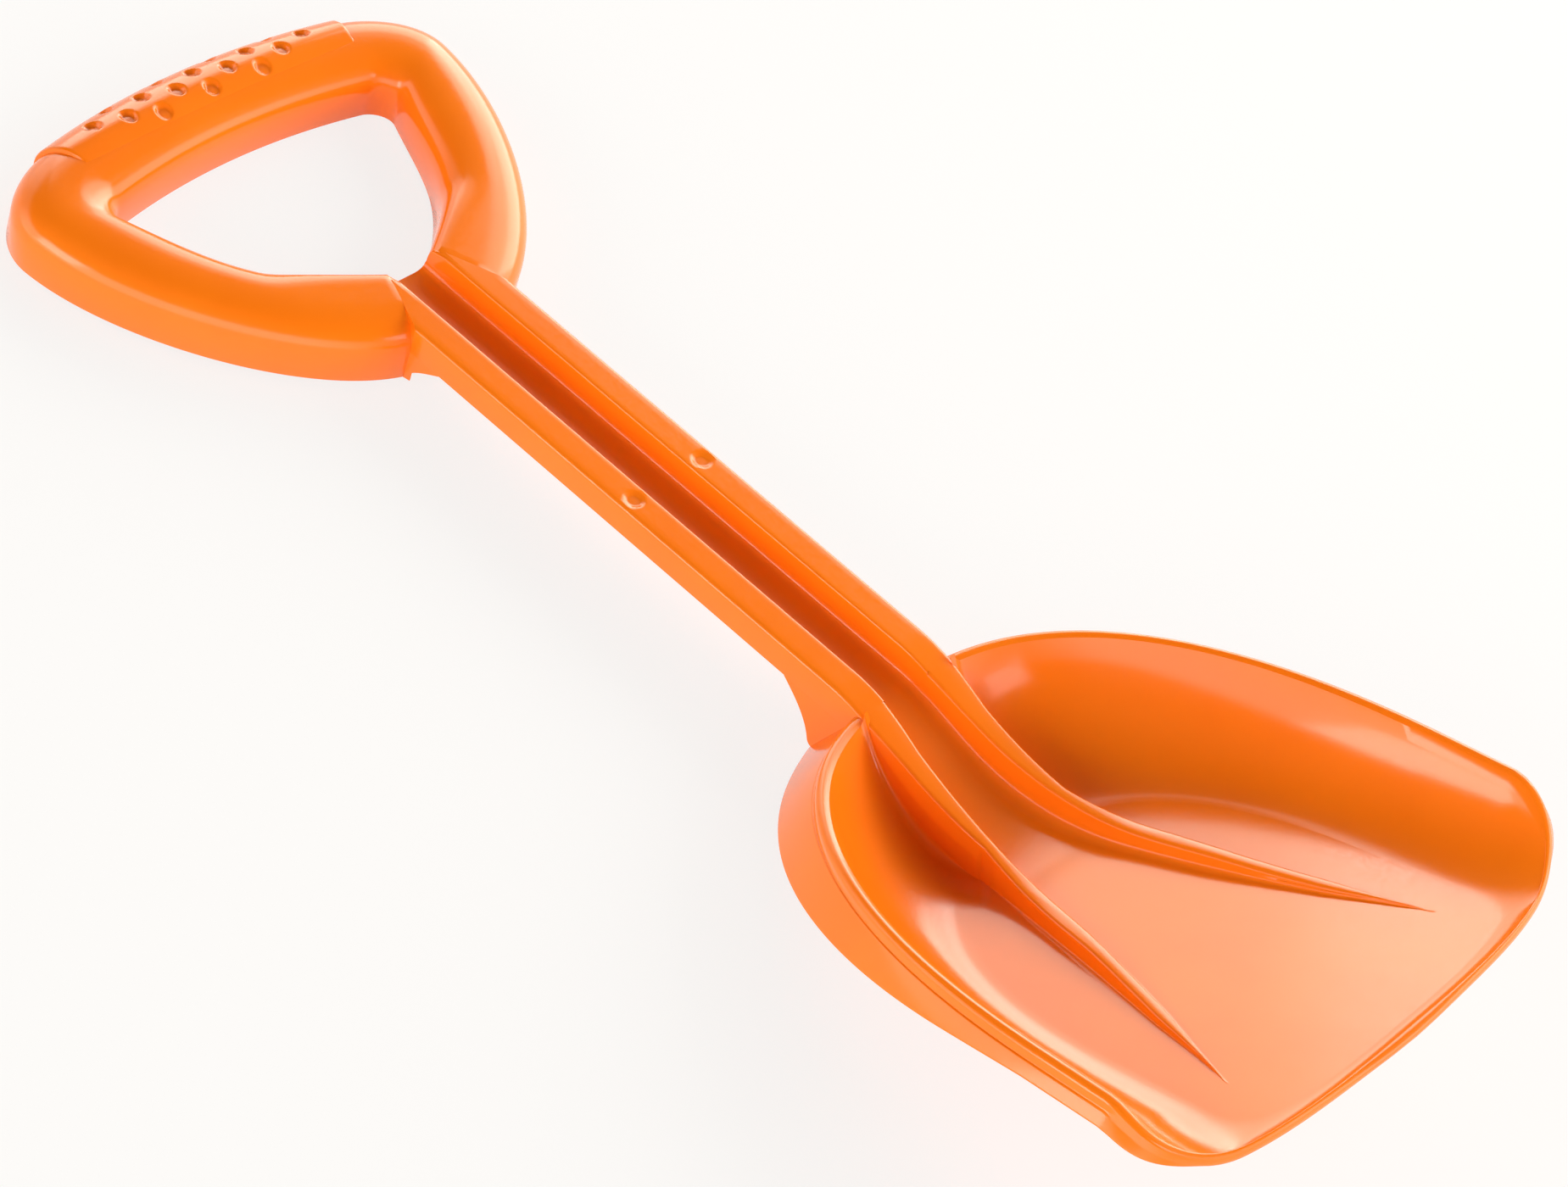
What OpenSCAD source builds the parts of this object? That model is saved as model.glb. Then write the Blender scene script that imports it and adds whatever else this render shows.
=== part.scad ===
// Child's sand shovel: a scoop blade, a trough-shaped shaft and a D-shaped grip, all one thin moulded shell.
// The blade is drawn with its floor level, the nose towards -Y and the grip towards +Y. The last step tilts
// the whole shovel to the pose in which it lies on the ground, on its heel gussets and the end of its grip.

/* [Shell] */
// Thickness of the moulded wall
shell_t = 2.4; // [1.8:0.1:3]

/* [Blade] */
// Width between the inner rim lines at the front ends of the sides
blade_w = 150; // [130:1:170]
// Width that the tapering sides would reach at the back
back_w = 139; // [118:1:160]
// Length of the bowed nose in front of the sides
nose_len = 24; // [19:0.5:30]
// Length of the straight sides
side_len = 15.5; // [8:0.5:24]
// Length of the rounded back
bow_len = 100; // [88:1:115]
// Width of the curved wall, seen from above, at the sides
wall_w = 25; // [20:0.5:30]
// Length of the curved wall, seen from above, at the back
wall_len = 33; // [28:0.5:38]
// Length of the curved lip, seen from above, in the middle of the nose
lip_len = 3.6; // [2.6:0.1:6]
// Rim height above the floor at the front ends of the sides
rim_front_h = 16.2; // [15:0.2:19]
// Rim height above the floor at the back
rim_back_h = 28; // [24:0.5:29]
// Height of the raised lip in the middle of the nose
lip_h = 1.2; // [0.8:0.1:2.5]

/* [Skirt] */
// Radius of the bead along the rim
bead_r = 1.7; // [1.4:0.1:2]
// Width of the groove between the bead and the skirt
groove_w = 0.7; // [0.5:0.1:1.2]
// Depth of the groove below the rim line
groove_d = 2; // [1.6:0.1:2.4]
// Angle of the skirt from upright at the front
skirt_front_angle = 36; // [26:1:42]
// Angle of the skirt from upright at the back
skirt_back_angle = 46; // [30:1:50]
// Height of the skirt's lower edge above the floor at its front end
skirt_front_z = 11.4; // [9:0.2:12]
// Height of the skirt's level lower edge above the floor
skirt_back_z = 14; // [12:0.2:15]
// Length over which that edge rises from its front end
skirt_rise_len = 40; // [25:1:60]

/* [Shaft] */
// Angle of the shaft above the blade's floor
lift = 20; // [16:0.5:24]
// Height of the rail tops above the floor where the shaft meets the blade
root_h = 30.4; // [29:0.2:34]
// Length of the shaft up to the outer roots of the grip's arms
shaft_len = 145.6; // [110:0.2:180]
// Width of the shaft over both rails
shaft_w = 32.6; // [28:0.2:38]
// Width of the trough between the rails
trough_w = 15.2; // [12:0.2:18]
// Depth of the trough below the rail tops
trough_d = 7.2; // [5.5:0.1:8.5]
// Height of the rails' outer walls
rail_h = 7.4; // [6:0.1:9]
// Radius of the rails' upper edges
edge_r = 1.3; // [0.8:0.1:1.6]
// Diameter of the shallow recess in the middle of each rail
recess_d = 6.2; // [3:0.1:6.4]
// Depth of that recess
recess_depth = 0.7; // [0.3:0.1:1]

/* [Ribs] */
// Distance of the rib tips inside the floor's side edges
rib_tip_inset = 10; // [5:0.5:16]
// Distance of the rib tips behind the nose
rib_tip_set = 19.5; // [14:0.5:30]
// Width of a rib at its tip
rib_tip_w = 1.2; // [0.8:0.1:3]
// Height of a rib at its tip
rib_tip_h = 0.4; // [0.3:0.1:1]
// Radius of the ribs' upper edges
rib_edge_r = 0.9; // [0.5:0.1:1.2]
// Length of the ramp between the ribs
ramp_len = 52; // [42:1:60]

/* [Heel gussets] */
// Reach of a heel gusset behind the blade along the shaft's lower edge
gusset_reach = 23; // [19:0.5:30]
// Reach of a heel gusset behind the blade at its lower corner
gusset_foot = 16; // [13:0.5:18]
// Height of a heel gusset's lower edge above the floor
gusset_z = 14; // [12:0.2:15]
// Radius of that lower corner
gusset_r = 2.4; // [1:0.2:4]

/* [Grip] */
// Width of the grip over both arms
grip_w = 140.4; // [124:0.2:156]
// Length of the grip from the arm roots to the end of the crossbar
grip_len = 102; // [92:0.5:114]
// Depth of the grip's hollow section
grip_d = 16; // [13:0.5:19]
// Height of the rounded top of that section
crown_h = 8.5; // [6:0.5:10]
// Length of the outer corners along the grip
corner_len = 26; // [21:0.5:31]
// Width of the outer corners across the grip
corner_w = 21.2; // [17:0.2:26]
// Bow of the crossbar's outer side
bar_bow = 5.1; // [1:0.1:7]
// Width of the crossbar
bar_w = 22.8; // [19:0.2:26]
// Bow of the crossbar's inner side
bar_inner_bow = 4.4; // [1:0.1:6]
// Width of the hand opening where its corners begin
opening_w = 93.2; // [84:0.2:102]
// Length of the opening's corners along the grip
inner_corner_len = 11.7; // [9.5:0.1:14]
// Width of the opening's corners across the grip
inner_corner_w = 4.6; // [3.6:0.1:6.5]
// Length from the arm's outer root to its inner root
crotch_len = 19.4; // [15:0.2:23]
// Length of a grip gusset along the shaft
grip_gusset_len = 10; // [7:0.5:14]

/* [Grip pad] */
// Height of the pad above the crossbar
pad_t = 1.5; // [1:0.1:2]
// Reach of the pad down the crossbar's outer wall
pad_reach = 5; // [4.4:0.1:6]
// Height of the pad at its edges
pad_edge_t = 0.4; // [0.3:0.1:0.8]
// Diameter of a dimple
dimple_d = 5; // [3:0.1:6]
// Depth of a dimple
dimple_depth = 0.7; // [0.3:0.1:0.8]
// Distance between dimples along the bar
dimple_pitch = 18; // [15:0.5:20]

/* [Hidden] */

// Glossy orange plastic
orange = [0.98, 0.5, 0.16];

// Roundness of the blade's back, of its nose, of its ramp, of the ribs' fall and of the rim's fall at the
// nose (2 is an ellipse or a parabola)
bow_power = 2.5;
nose_power = 3;
ramp_power = 2.2;
rib_power = 3.7;
drop_power = 1.6;

// Part of a quarter circle that the wall's section covers at the sides and at the nose
wall_arc_share = 0.95;
nose_arc_share = 0.6;
// Part of the nose's quarter turn over which the rim falls to the lip
drop_share = 0.55;
// How far the floor's corner follows the lip across the blade
corner_share = 0.5;
// Depth of the bead's middle line below the rim line, as a share of its radius
bead_set_share = 0.5;
// Angles round the bead between which its surface shows
bead_from = 125;
bead_to = 5;
// Place of the groove's bottom in the groove's width
groove_share = 0.25;
// How late the skirt turns to its angle at the back
turn_power = 5;

// Curve handles, as shares of the span between a curve's two ends
arm_outer_shares = [[0.49, 0.11], [0.98, 0.63]];
corner_outer_shares = [[0, 0.6], [0.68, 0.935]];
arm_inner_shares = [[0.72, 0.35], [0.74, 0.54]];
corner_inner_shares = [[-0.32, 0.44], [0.35, 0.91]];
rib_outer_share = [0.16, 0.214];
rib_inner_share = [0, 0.42];
gusset_shares = [[0.45, 0.3], [0.92, 0.6]];
// Slope of the ribs' flanks, as a share of their height, and the most that they may take of the width
flank_share = 0.12;
flank_limit_share = 0.3;
// Most that the ribs' rounded edges may take of their width and of their height
edge_limit_shares = [0.3, 0.5];

// Rows of dimples: angle round the crossbar, share of the pad's reach down the wall, and number in the row
dimple_rows = [[100, 0, 3], [121, 0, 4], [142, 0, 5], [162, 0, 4], [180, 0.3, 3]];

// Numbers of steps along each curve
nose_steps = 12;
bow_steps = 22;
wall_steps = 7;
bead_steps = 5;
skirt_steps = 3;
rib_profile_steps = 5;
rib_root_steps = 8;
ramp_steps = 14;
rib_steps = 28;
arm_steps = 12;
corner_steps = 8;
bar_steps = 12;
crown_steps = 10;
pad_first_step = 4;
pad_rise_steps = 3;
rest_steps = 20;
edge_steps = 3;
gusset_steps = 8;
search_steps = 30;
$fn = 40;

// Small step, as a share of a wall's section, for reading its slope
slope_share = 0.001;

back_y = side_len + bow_len;
rail_x = shaft_w/2;
trough_x = trough_w/2;
floor_x = blade_w/2 - wall_w;
side_share = floor_x/(blade_w/2);
bow_share = 1 - wall_len/bow_len;
lip_share = 1 - lip_len/nose_len;
last = nose_steps + 1 + bow_steps;
rib_tip_y = rib_tip_set - nose_len;
rib_tip_x = floor_x - rib_tip_inset;
ramp_y = back_y - ramp_len;
ramp_h = root_h - trough_d/cos(lift);
web_k = -trough_d - shell_t;

// Blend of two values, a smooth step and a direction of length one
function mix(a, b, s) = a + (b - a)*s;
function clip(s) = min(1, max(0, s));
function smooth(s) = clip(s)*clip(s)*(3 - 2*clip(s));
function unit(v) = v/norm(v);

// Curves with one or with two handles
function curve2(p, q, r, s) = (1 - s)*(1 - s)*p + 2*(1 - s)*s*q + s*s*r;
function curve3(p, q, r, t, s) =
    pow(1 - s, 3)*p + 3*pow(1 - s, 2)*s*q + 3*(1 - s)*s*s*r + pow(s, 3)*t;
function handle(p, t, share) = [mix(p.x, t.x, share.x), mix(p.y, t.y, share.y)];
function spanned(p, t, shares, s) = curve3(p, handle(p, t, shares[0]), handle(p, t, shares[1]), t, s);

// Closed shell between an outer grid a and an inner grid b, each a list of stations along the piece
module shell(a, b) {
    n = len(a);
    m = len(a[0]);
    points = [for (g = [a, b]) for (row = g) for (p = row) p];
    faces = concat(
        [for (i = [0:n - 2]) for (k = [0:m - 2]) each [
            [i*m + k, i*m + m + k + 1, i*m + k + 1],
            [i*m + k, i*m + m + k, i*m + m + k + 1],
            [n*m + i*m + k, n*m + i*m + k + 1, n*m + i*m + m + k + 1],
            [n*m + i*m + k, n*m + i*m + m + k + 1, n*m + i*m + m + k]]],
        [for (i = [0:n - 2]) each [
            [i*m, n*m + i*m + m, i*m + m],
            [i*m, n*m + i*m, n*m + i*m + m],
            [i*m + m - 1, i*m + 2*m - 1, n*m + i*m + 2*m - 1],
            [i*m + m - 1, n*m + i*m + 2*m - 1, n*m + i*m + m - 1]]],
        [for (k = [0:m - 2]) each 2*k < m - 1 ? [
            [k, n*m + k + 1, n*m + k],
            [k, k + 1, n*m + k + 1],
            [n*m - m + k, 2*n*m - m + k + 1, n*m - m + k + 1],
            [n*m - m + k, 2*n*m - m + k, 2*n*m - m + k + 1]] : [
            [k, k + 1, n*m + k],
            [k + 1, n*m + k + 1, n*m + k],
            [n*m - m + k, 2*n*m - m + k, n*m - m + k + 1],
            [n*m - m + k + 1, 2*n*m - m + k, 2*n*m - m + k + 1]]]);
    polyhedron(points, faces, convexity = 6);
}

// Closed solid through a list of convex rings
module loft(rings) {
    n = len(rings);
    m = len(rings[0]);
    points = [for (r = rings) for (p = r) p];
    sides = [for (i = [0:n - 2]) for (k = [0:m - 1]) each [
        [i*m + k, i*m + m + (k + 1)%m, i*m + m + k],
        [i*m + k, i*m + (k + 1)%m, i*m + m + (k + 1)%m]]];
    first_cap = [for (k = [1:m - 2]) [0, k + 1, k]];
    last_cap = [for (k = [1:m - 2]) [n*m - m, n*m - m + k, n*m - m + k + 1]];
    polyhedron(points, concat(sides, first_cap, last_cap), convexity = 4);
}

// Half width of the blade's rim line
function half_w(y) = mix(blade_w, back_w, y/back_y)/2;

// Points of the back and of the nose: s is 1 on the rim line and less inside it, a turns from side to middle
function bow_point(s, a) =
    let (y = side_len + bow_len*s[1]*pow(sin(a), 2/bow_power))
    [half_w(y)*s[0]*pow(cos(a), 2/bow_power), y];
function nose_point(s, a) =
    [half_w(0)*s[0]*pow(cos(a), 2/nose_power), -nose_len*s[1]*pow(sin(a), 2/nose_power)];

// Angle at which the back's curve reaches the side of the shaft
function bow_angle(s, low = 0, high = 90, n = search_steps) =
    let (a = (low + high)/2)
    n == 0 ? a :
    bow_point(s, a).x > rail_x ? bow_angle(s, a, high, n - 1) : bow_angle(s, low, a, n - 1);

// Stations of the right wall run from the middle of the nose round to the shaft
function nose_angle(i) = 90*(1 - i/nose_steps);
function inset(i, u) =
    i > nose_steps ? [mix(side_share, 1, u), mix(bow_share, 1, u)] :
    let (f = mix(side_share, lip_share, smooth(nose_angle(i)/90/drop_share)))
    [mix(mix(side_share, f, corner_share), 1, u), mix(f, 1, u)];
function plan(i, u) =
    i <= nose_steps ? nose_point(inset(i, u), nose_angle(i)) :
    bow_point(inset(i, u), bow_angle(inset(i, u))*(i - nose_steps - 1)/bow_steps);
function rim_h(i) =
    i <= nose_steps ?
    mix(lip_h, rim_front_h, pow(1 - clip(nose_angle(i)/90/drop_share), drop_power)) :
    mix(rim_front_h, rim_back_h, plan(i, 1).y/back_y);
function arc_share(i) =
    i > nose_steps ? wall_arc_share :
    mix(wall_arc_share, nose_arc_share, smooth(nose_angle(i)/90/drop_share));
function rise(i, u) =
    let (c = arc_share(i))
    rim_h(i)*(1 - sqrt(1 - c*c*u*u))/(1 - sqrt(1 - c*c));
function wall_top(i, u) = [plan(i, u).x, plan(i, u).y, rise(i, u)];

// Outward direction, seen from above, and slope of the wall
function wall_run(i, u) = plan(i, min(1, u + slope_share)) - plan(i, max(0, u - slope_share));
function wall_out(i, u) = unit(wall_run(i, u));
function wall_slope(i, u) =
    (rise(i, min(1, u + slope_share)) - rise(i, max(0, u - slope_share)))/norm(wall_run(i, u));
function wall_lean(i, u) =
    let (d = wall_out(i, u), s = wall_slope(i, u))
    [d.x*s, d.y*s, -1]/sqrt(1 + s*s);
function wall_under(i, u) =
    u == 0 ? wall_top(i, u) - [0, 0, shell_t] : wall_top(i, u) + shell_t*wall_lean(i, u);

// Point beside the rim: d outwards and z upwards from the rim line
function rim_point(i, d, z) =
    let (o = wall_out(i, 1))
    wall_top(i, 1) + [o.x*d, o.y*d, z];

module wall() {
    a = [for (i = [0:last]) [for (k = [0:wall_steps]) wall_top(i, k/wall_steps)]];
    b = [for (i = [0:last]) [for (k = [0:wall_steps]) wall_under(i, k/wall_steps)]];
    shell(a, b);
}

// Rounded front edge: a half round along the edge of the wall
module lip() {
    loft([for (i = [nose_steps:-1:0])
        let (top = wall_top(i, 1), low = wall_under(i, 1), o = wall_out(i, 1), s = wall_slope(i, 1))
        let (up = [o.x, o.y, s]/sqrt(1 + s*s))
        [for (k = [0:bead_steps])
            (top + low)/2 + (top - low)/2*cos(180*k/bead_steps) + up*shell_t/2*sin(180*k/bead_steps)]]);
}

// Bead on the rim and the skirt outside it
function skirt_z(i) =
    mix(skirt_back_z, skirt_front_z, pow(1 - clip(plan(i, 1).y/skirt_rise_len), 2)) - rim_h(i);
function skirt_angle(i) =
    mix(skirt_front_angle, skirt_back_angle, pow(clip((i - nose_steps - 1)/bow_steps), turn_power));
function skirt_fold() = [2*bead_r + groove_w, -groove_d];
function skirt_foot(i) = skirt_fold() + (-skirt_z(i) - groove_d)*[tan(skirt_angle(i)), -1];
function skirt_fold_inner(i) = skirt_fold() - shell_t*[cos(skirt_angle(i)), sin(skirt_angle(i))];
function skirt_foot_inner(i) = skirt_foot(i) - [shell_t/cos(skirt_angle(i)), 0];
function bead_point(a) = bead_r*[1 + cos(a), sin(a) - bead_set_share];
function skirt_top(i) = concat(
    [[0, 0]],
    [for (k = [0:bead_steps]) bead_point(mix(bead_from, bead_to, k/bead_steps))],
    [[2*bead_r + groove_w*groove_share, -groove_d]],
    [for (k = [0:skirt_steps]) mix(skirt_fold(), skirt_foot(i), k/skirt_steps)]);
function skirt_under(i) =
    let (w = wall_under(i, 1) - wall_top(i, 1))
    let (start = [norm([w.x, w.y]), w.z], n = bead_steps + 3)
    concat(
        [for (k = [0:n - 1]) mix(start, skirt_fold_inner(i), k/n)],
        [for (k = [0:skirt_steps]) mix(skirt_fold_inner(i), skirt_foot_inner(i), k/skirt_steps)]);
module skirt() {
    a = [for (i = [nose_steps:last]) [for (p = skirt_top(i)) rim_point(i, p.x, p.y)]];
    b = [for (i = [nose_steps:last]) [for (k = [0:len(skirt_under(i)) - 1])
        k == 0 ? wall_under(i, 1) : rim_point(i, skirt_under(i)[k].x, skirt_under(i)[k].y)]];
    shell(a, b);
}

// Height of the ramp, which is level with the floor in front of it
function ramp_z(y) = ramp_h*pow(clip((y - ramp_y)/ramp_len), ramp_power);

// Sides of the right rib, seen from above, from the shaft at 0 to the tip at 1
function rib_root() = [rail_x, plan(last, 0).y];
function rib_tip(side) = [rib_tip_x + side*rib_tip_w/2, rib_tip_y];
function outer_point(s) =
    let (p = rib_root(), t = rib_tip(1))
    curve2(p, [mix(p.x, t.x, rib_outer_share.x), mix(p.y, t.y, rib_outer_share.y)], t, s);
function inner_point(s) =
    let (p = [trough_x, back_y], t = rib_tip(-1))
    curve2(p, [mix(p.x, t.x, rib_inner_share.x), mix(p.y, t.y, rib_inner_share.y)], t, s);
// Shares along these two sides at which they pass a place y
function outer_share(y, low = 0, high = 1, n = search_steps) =
    let (s = (low + high)/2)
    n == 0 ? s : outer_point(s).y > y ? outer_share(y, s, high, n - 1) : outer_share(y, low, s, n - 1);
function inner_share(y, low = 0, high = 1, n = search_steps) =
    let (s = (low + high)/2)
    n == 0 ? s : inner_point(s).y > y ? inner_share(y, s, high, n - 1) : inner_share(y, low, s, n - 1);
root_share = inner_share(rib_root().y);
ramp_share = inner_share(ramp_y);
function rib_inner(k) = inner_point(
    k <= rib_root_steps ? root_share*k/rib_root_steps :
    k <= ramp_steps ? mix(root_share, ramp_share, (k - rib_root_steps)/(ramp_steps - rib_root_steps)) :
    mix(ramp_share, 1, (k - ramp_steps)/(rib_steps - ramp_steps)));
function rib_outer(k) =
    let (y = rib_inner(k).y)
    [k <= rib_root_steps ? rail_x : k == rib_steps ? rib_tip(1).x : outer_point(outer_share(y)).x, y];
function rib_crest(y) =
    max(rib_tip_h, mix(rib_tip_h, root_h, pow(clip((y - rib_tip_y)/(back_y - rib_tip_y)), rib_power)));

// Height of the rib's outer foot: it goes down to the wall's end where that is lower than the ramp
function wall_end_z(y) = rise(last, clip((y - rib_root().y)/(plan(last, 1).y - rib_root().y)));
function foot_z(y) = y < rib_root().y ? ramp_z(y) : min(ramp_z(y), wall_end_z(y));

function rib_section(k) =
    let (i = rib_inner(k), o = rib_outer(k), w = norm(o - i), d = (o - i)/w)
    let (z = rib_crest((i.y + o.y)/2), h = z - ramp_z(i.y))
    let (r = min(rib_edge_r, edge_limit_shares[0]*w, edge_limit_shares[1]*h))
    let (f = min(flank_share*h, flank_limit_share*w)*clip(k/rib_root_steps))
    [for (q = [[0, ramp_z(i.y)], [f, z - r], [f + r, z], [w - f - r, z], [w - f, z - r], [w, foot_z(o.y)]])
        [i.x + d.x*q[0], i.y + d.y*q[0], q[1]]];
function rib_base(k) =
    let (i = rib_inner(k), o = rib_outer(k))
    [for (j = [0:rib_profile_steps])
        let (p = mix(i, o, j/rib_profile_steps))
        [p.x, p.y, mix(ramp_z(i.y), foot_z(o.y), j/rib_profile_steps) - shell_t]];
module rib() {
    shell([for (k = [rib_steps:-1:0]) rib_section(k)], [for (k = [rib_steps:-1:0]) rib_base(k)]);
}

module ramp() {
    rows = [for (k = [ramp_steps:-1:0]) rib_inner(k)];
    a = [for (p = rows) [for (s = [-1, 1]) [s*p.x, p.y, ramp_z(p.y)]]];
    b = [for (p = rows) [for (s = [-1, 1]) [s*p.x, p.y, ramp_z(p.y) - shell_t]]];
    shell(a, b);
}

// Flat floor, notched for the ribs and the ramp
module floor_plate() {
    right = concat(
        [for (i = [0:last]) plan(i, 0)],
        [for (k = [rib_root_steps + 1:rib_steps]) rib_outer(k)],
        [for (k = [rib_steps:-1:ramp_steps]) rib_inner(k)]);
    left = [for (i = [len(right) - 1:-1:1]) [-right[i].x, right[i].y]];
    translate([0, 0, -shell_t])
        linear_extrude(shell_t)
            polygon(concat(right, left));
}

// Point of the shaft: n along it from the blade, k above the rail tops
function shaft_point(x, n, k) =
    [x, back_y + n*cos(lift) - k*sin(lift), root_h + n*sin(lift) + k*cos(lift)];
function arm_root(x) = shaft_len + crotch_len*(rail_x - x)/(rail_x - trough_x);

// Section of the right rail, [x, k], from the trough over the top to the outer wall
function rail_top() = concat(
    [[trough_x, web_k]],
    [for (s = [0:edge_steps])
        [trough_x + edge_r*(1 - cos(90*s/edge_steps)), edge_r*(sin(90*s/edge_steps) - 1)]],
    [for (s = [edge_steps:-1:0])
        [rail_x - edge_r*(1 - cos(90*s/edge_steps)), edge_r*(sin(90*s/edge_steps) - 1)]],
    [[rail_x, -rail_h]]);
function rail_under() =
    let (l = trough_x + shell_t, r = rail_x - shell_t, m = edge_steps)
    concat(
        [[l, web_k]],
        [for (s = [0:m]) [mix(l, r, s/(2*m + 1)), -shell_t]],
        [for (s = [m:-1:0]) [mix(r, l, s/(2*m + 1)), -shell_t]],
        [[r, -rail_h]]);
function rail_ends(section) = [
    [for (p = section) shaft_point(p[0], p[1]*tan(lift), p[1])],
    [for (p = section) shaft_point(p[0], arm_root(p[0]), p[1])]];
recess_r = (recess_d*recess_d/4 + recess_depth*recess_depth)/(2*recess_depth);
module rail() {
    difference() {
        shell(rail_ends(rail_top()), rail_ends(rail_under()));
        translate(shaft_point((rail_x + trough_x)/2, shaft_len/2, recess_r - recess_depth))
            sphere(recess_r);
    }
}

module web() {
    a = [for (e = [0, 1]) [for (x = [-trough_x, trough_x])
        shaft_point(x, e == 0 ? -trough_d*tan(lift) : arm_root(trough_x), -trough_d)]];
    b = [for (e = [0, 1]) [for (x = [-trough_x, trough_x])
        shaft_point(x, e == 0 ? web_k*tan(lift) : arm_root(trough_x), web_k)]];
    shell(a, b);
}

// Side plate under the rail's outer wall: points are [y, z]
module plate(points) {
    translate([rail_x, 0, 0])
        rotate([90, 0, -90])
            mirror([1, 0, 0])
                linear_extrude(shell_t)
                    polygon(points);
}

function side_view(n, k) = [shaft_point(0, n, k).y, shaft_point(0, n, k).z];
function rail_low(y) = root_h + (y - back_y)*tan(lift) - rail_h/cos(lift);
// Point of the rib's underside at a height, found along the ramp
function under_y(z) = ramp_y + ramp_len*pow((z + shell_t)/ramp_h, 1/ramp_power);
module heel_gusset() {
    top = [back_y + gusset_reach, rail_low(back_y + gusset_reach)];
    foot = [back_y + gusset_foot, gusset_z + gusset_r];
    rear = [for (s = [0:gusset_steps]) spanned(top, foot, gusset_shares, s/gusset_steps)];
    corner = [for (s = [1:gusset_steps])
        foot + gusset_r*[cos(90*s/gusset_steps) - 1, -sin(90*s/gusset_steps)]];
    heel = under_y(gusset_z);
    front = [for (s = [0:gusset_steps])
        let (y = mix(heel, back_y, s/gusset_steps))
        [y, foot_z(y) - shell_t]];
    plate(concat(rear, corner, front, [[back_y, rail_low(back_y)]]));
}

module grip_gusset() {
    start = [shaft_len - grip_gusset_len, -rail_h];
    end = [shaft_len, -grip_d];
    edge = [for (s = [0:gusset_steps]) spanned(start, end, gusset_shares, s/gusset_steps)];
    plate(concat([for (p = edge) side_view(p.x, p.y)], [side_view(shaft_len, -rail_h)]));
}

// Outlines of the grip, seen along its depth: [x, n], with n from the arms' outer roots
corner_n = grip_len - corner_len;
bar_x = grip_w/2 - corner_w;
inner_n = grip_len - bar_w - inner_corner_len;
bar_inner_x = opening_w/2 - inner_corner_w;
function outer_line(k) =
    k <= arm_steps ? spanned([rail_x, 0], [grip_w/2, corner_n], arm_outer_shares, k/arm_steps) :
    spanned([grip_w/2, corner_n], [bar_x, grip_len - bar_bow], corner_outer_shares,
        (k - arm_steps)/corner_steps);
function inner_line(k) =
    k <= arm_steps ?
    spanned([trough_x, crotch_len], [opening_w/2, inner_n], arm_inner_shares, k/arm_steps) :
    spanned([opening_w/2, inner_n], [bar_inner_x, grip_len - bar_w - bar_inner_bow], corner_inner_shares,
        (k - arm_steps)/corner_steps);
function bar_outer(s) = [bar_x*s, grip_len - bar_bow*s*s];
function bar_inner(s) = [bar_inner_x*s, grip_len - bar_w - bar_inner_bow*s*s];

// Section of the grip between an inner point p and an outer point q, at an inset from its outside
function crown(p, q, t) =
    let (w = norm(q - p), d = (q - p)/w)
    [for (c = concat(
        [[t, -grip_d]],
        [for (s = [0:crown_steps])
            [w/2 - (w/2 - t)*cos(180*s/crown_steps), (crown_h - t)*sin(180*s/crown_steps) - crown_h]],
        [[w - t, -grip_d]]))
        shaft_point(p.x + d.x*c[0], shaft_len + p.y + d.y*c[0], c[1])];

module arm() {
    steps = arm_steps + corner_steps;
    shell([for (k = [0:steps]) crown(inner_line(k), outer_line(k), 0)],
        [for (k = [0:steps]) crown(inner_line(k), outer_line(k), shell_t)]);
}

function bar_share(k) = 1 - 2*k/bar_steps;
module bar() {
    shell([for (k = [0:bar_steps]) crown(bar_inner(bar_share(k)), bar_outer(bar_share(k)), 0)],
        [for (k = [0:bar_steps]) crown(bar_inner(bar_share(k)), bar_outer(bar_share(k)), shell_t)]);
}

// Point of the crossbar's outside at an angle a round the crown (0 is the inner side), raised by t and
// moved down by h
function bar_skin(s, a, t, h = 0) =
    let (p = bar_inner(s), q = bar_outer(s), w = norm(q - p), d = (q - p)/w)
    let (c = [w/2 - w/2*cos(a), crown_h*sin(a) - crown_h - h])
    let (r = unit([-cos(a)/(w/2), sin(a)/crown_h]))
    let (e = c + r*t)
    shaft_point(p.x + d.x*e[0], shaft_len + p.y + d.y*e[0], e[1]);
function pad_height(k) = mix(pad_edge_t, pad_t, smooth((k - pad_first_step)/pad_rise_steps));
function pad_row(s, raised) = concat(
    [for (k = [pad_first_step:crown_steps]) bar_skin(s, 180*k/crown_steps, raised*pad_height(k))],
    [bar_skin(s, 180, raised*pad_t, pad_reach - pad_t), bar_skin(s, 180, raised*pad_edge_t, pad_reach)]);
module pad() {
    dimple_r = (dimple_d*dimple_d/4 + dimple_depth*dimple_depth)/(2*dimple_depth);
    difference() {
        shell([for (j = [0:bar_steps]) pad_row(bar_share(j), 1)],
            [for (j = [0:bar_steps]) pad_row(bar_share(j), 0)]);
        for (row = dimple_rows)
            for (j = [0:row[2] - 1])
                translate(bar_skin((j - (row[2] - 1)/2)*dimple_pitch/bar_x, row[0],
                    pad_t + dimple_r - dimple_depth, row[1]*pad_reach))
                    sphere(dimple_r);
    }
}

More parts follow.
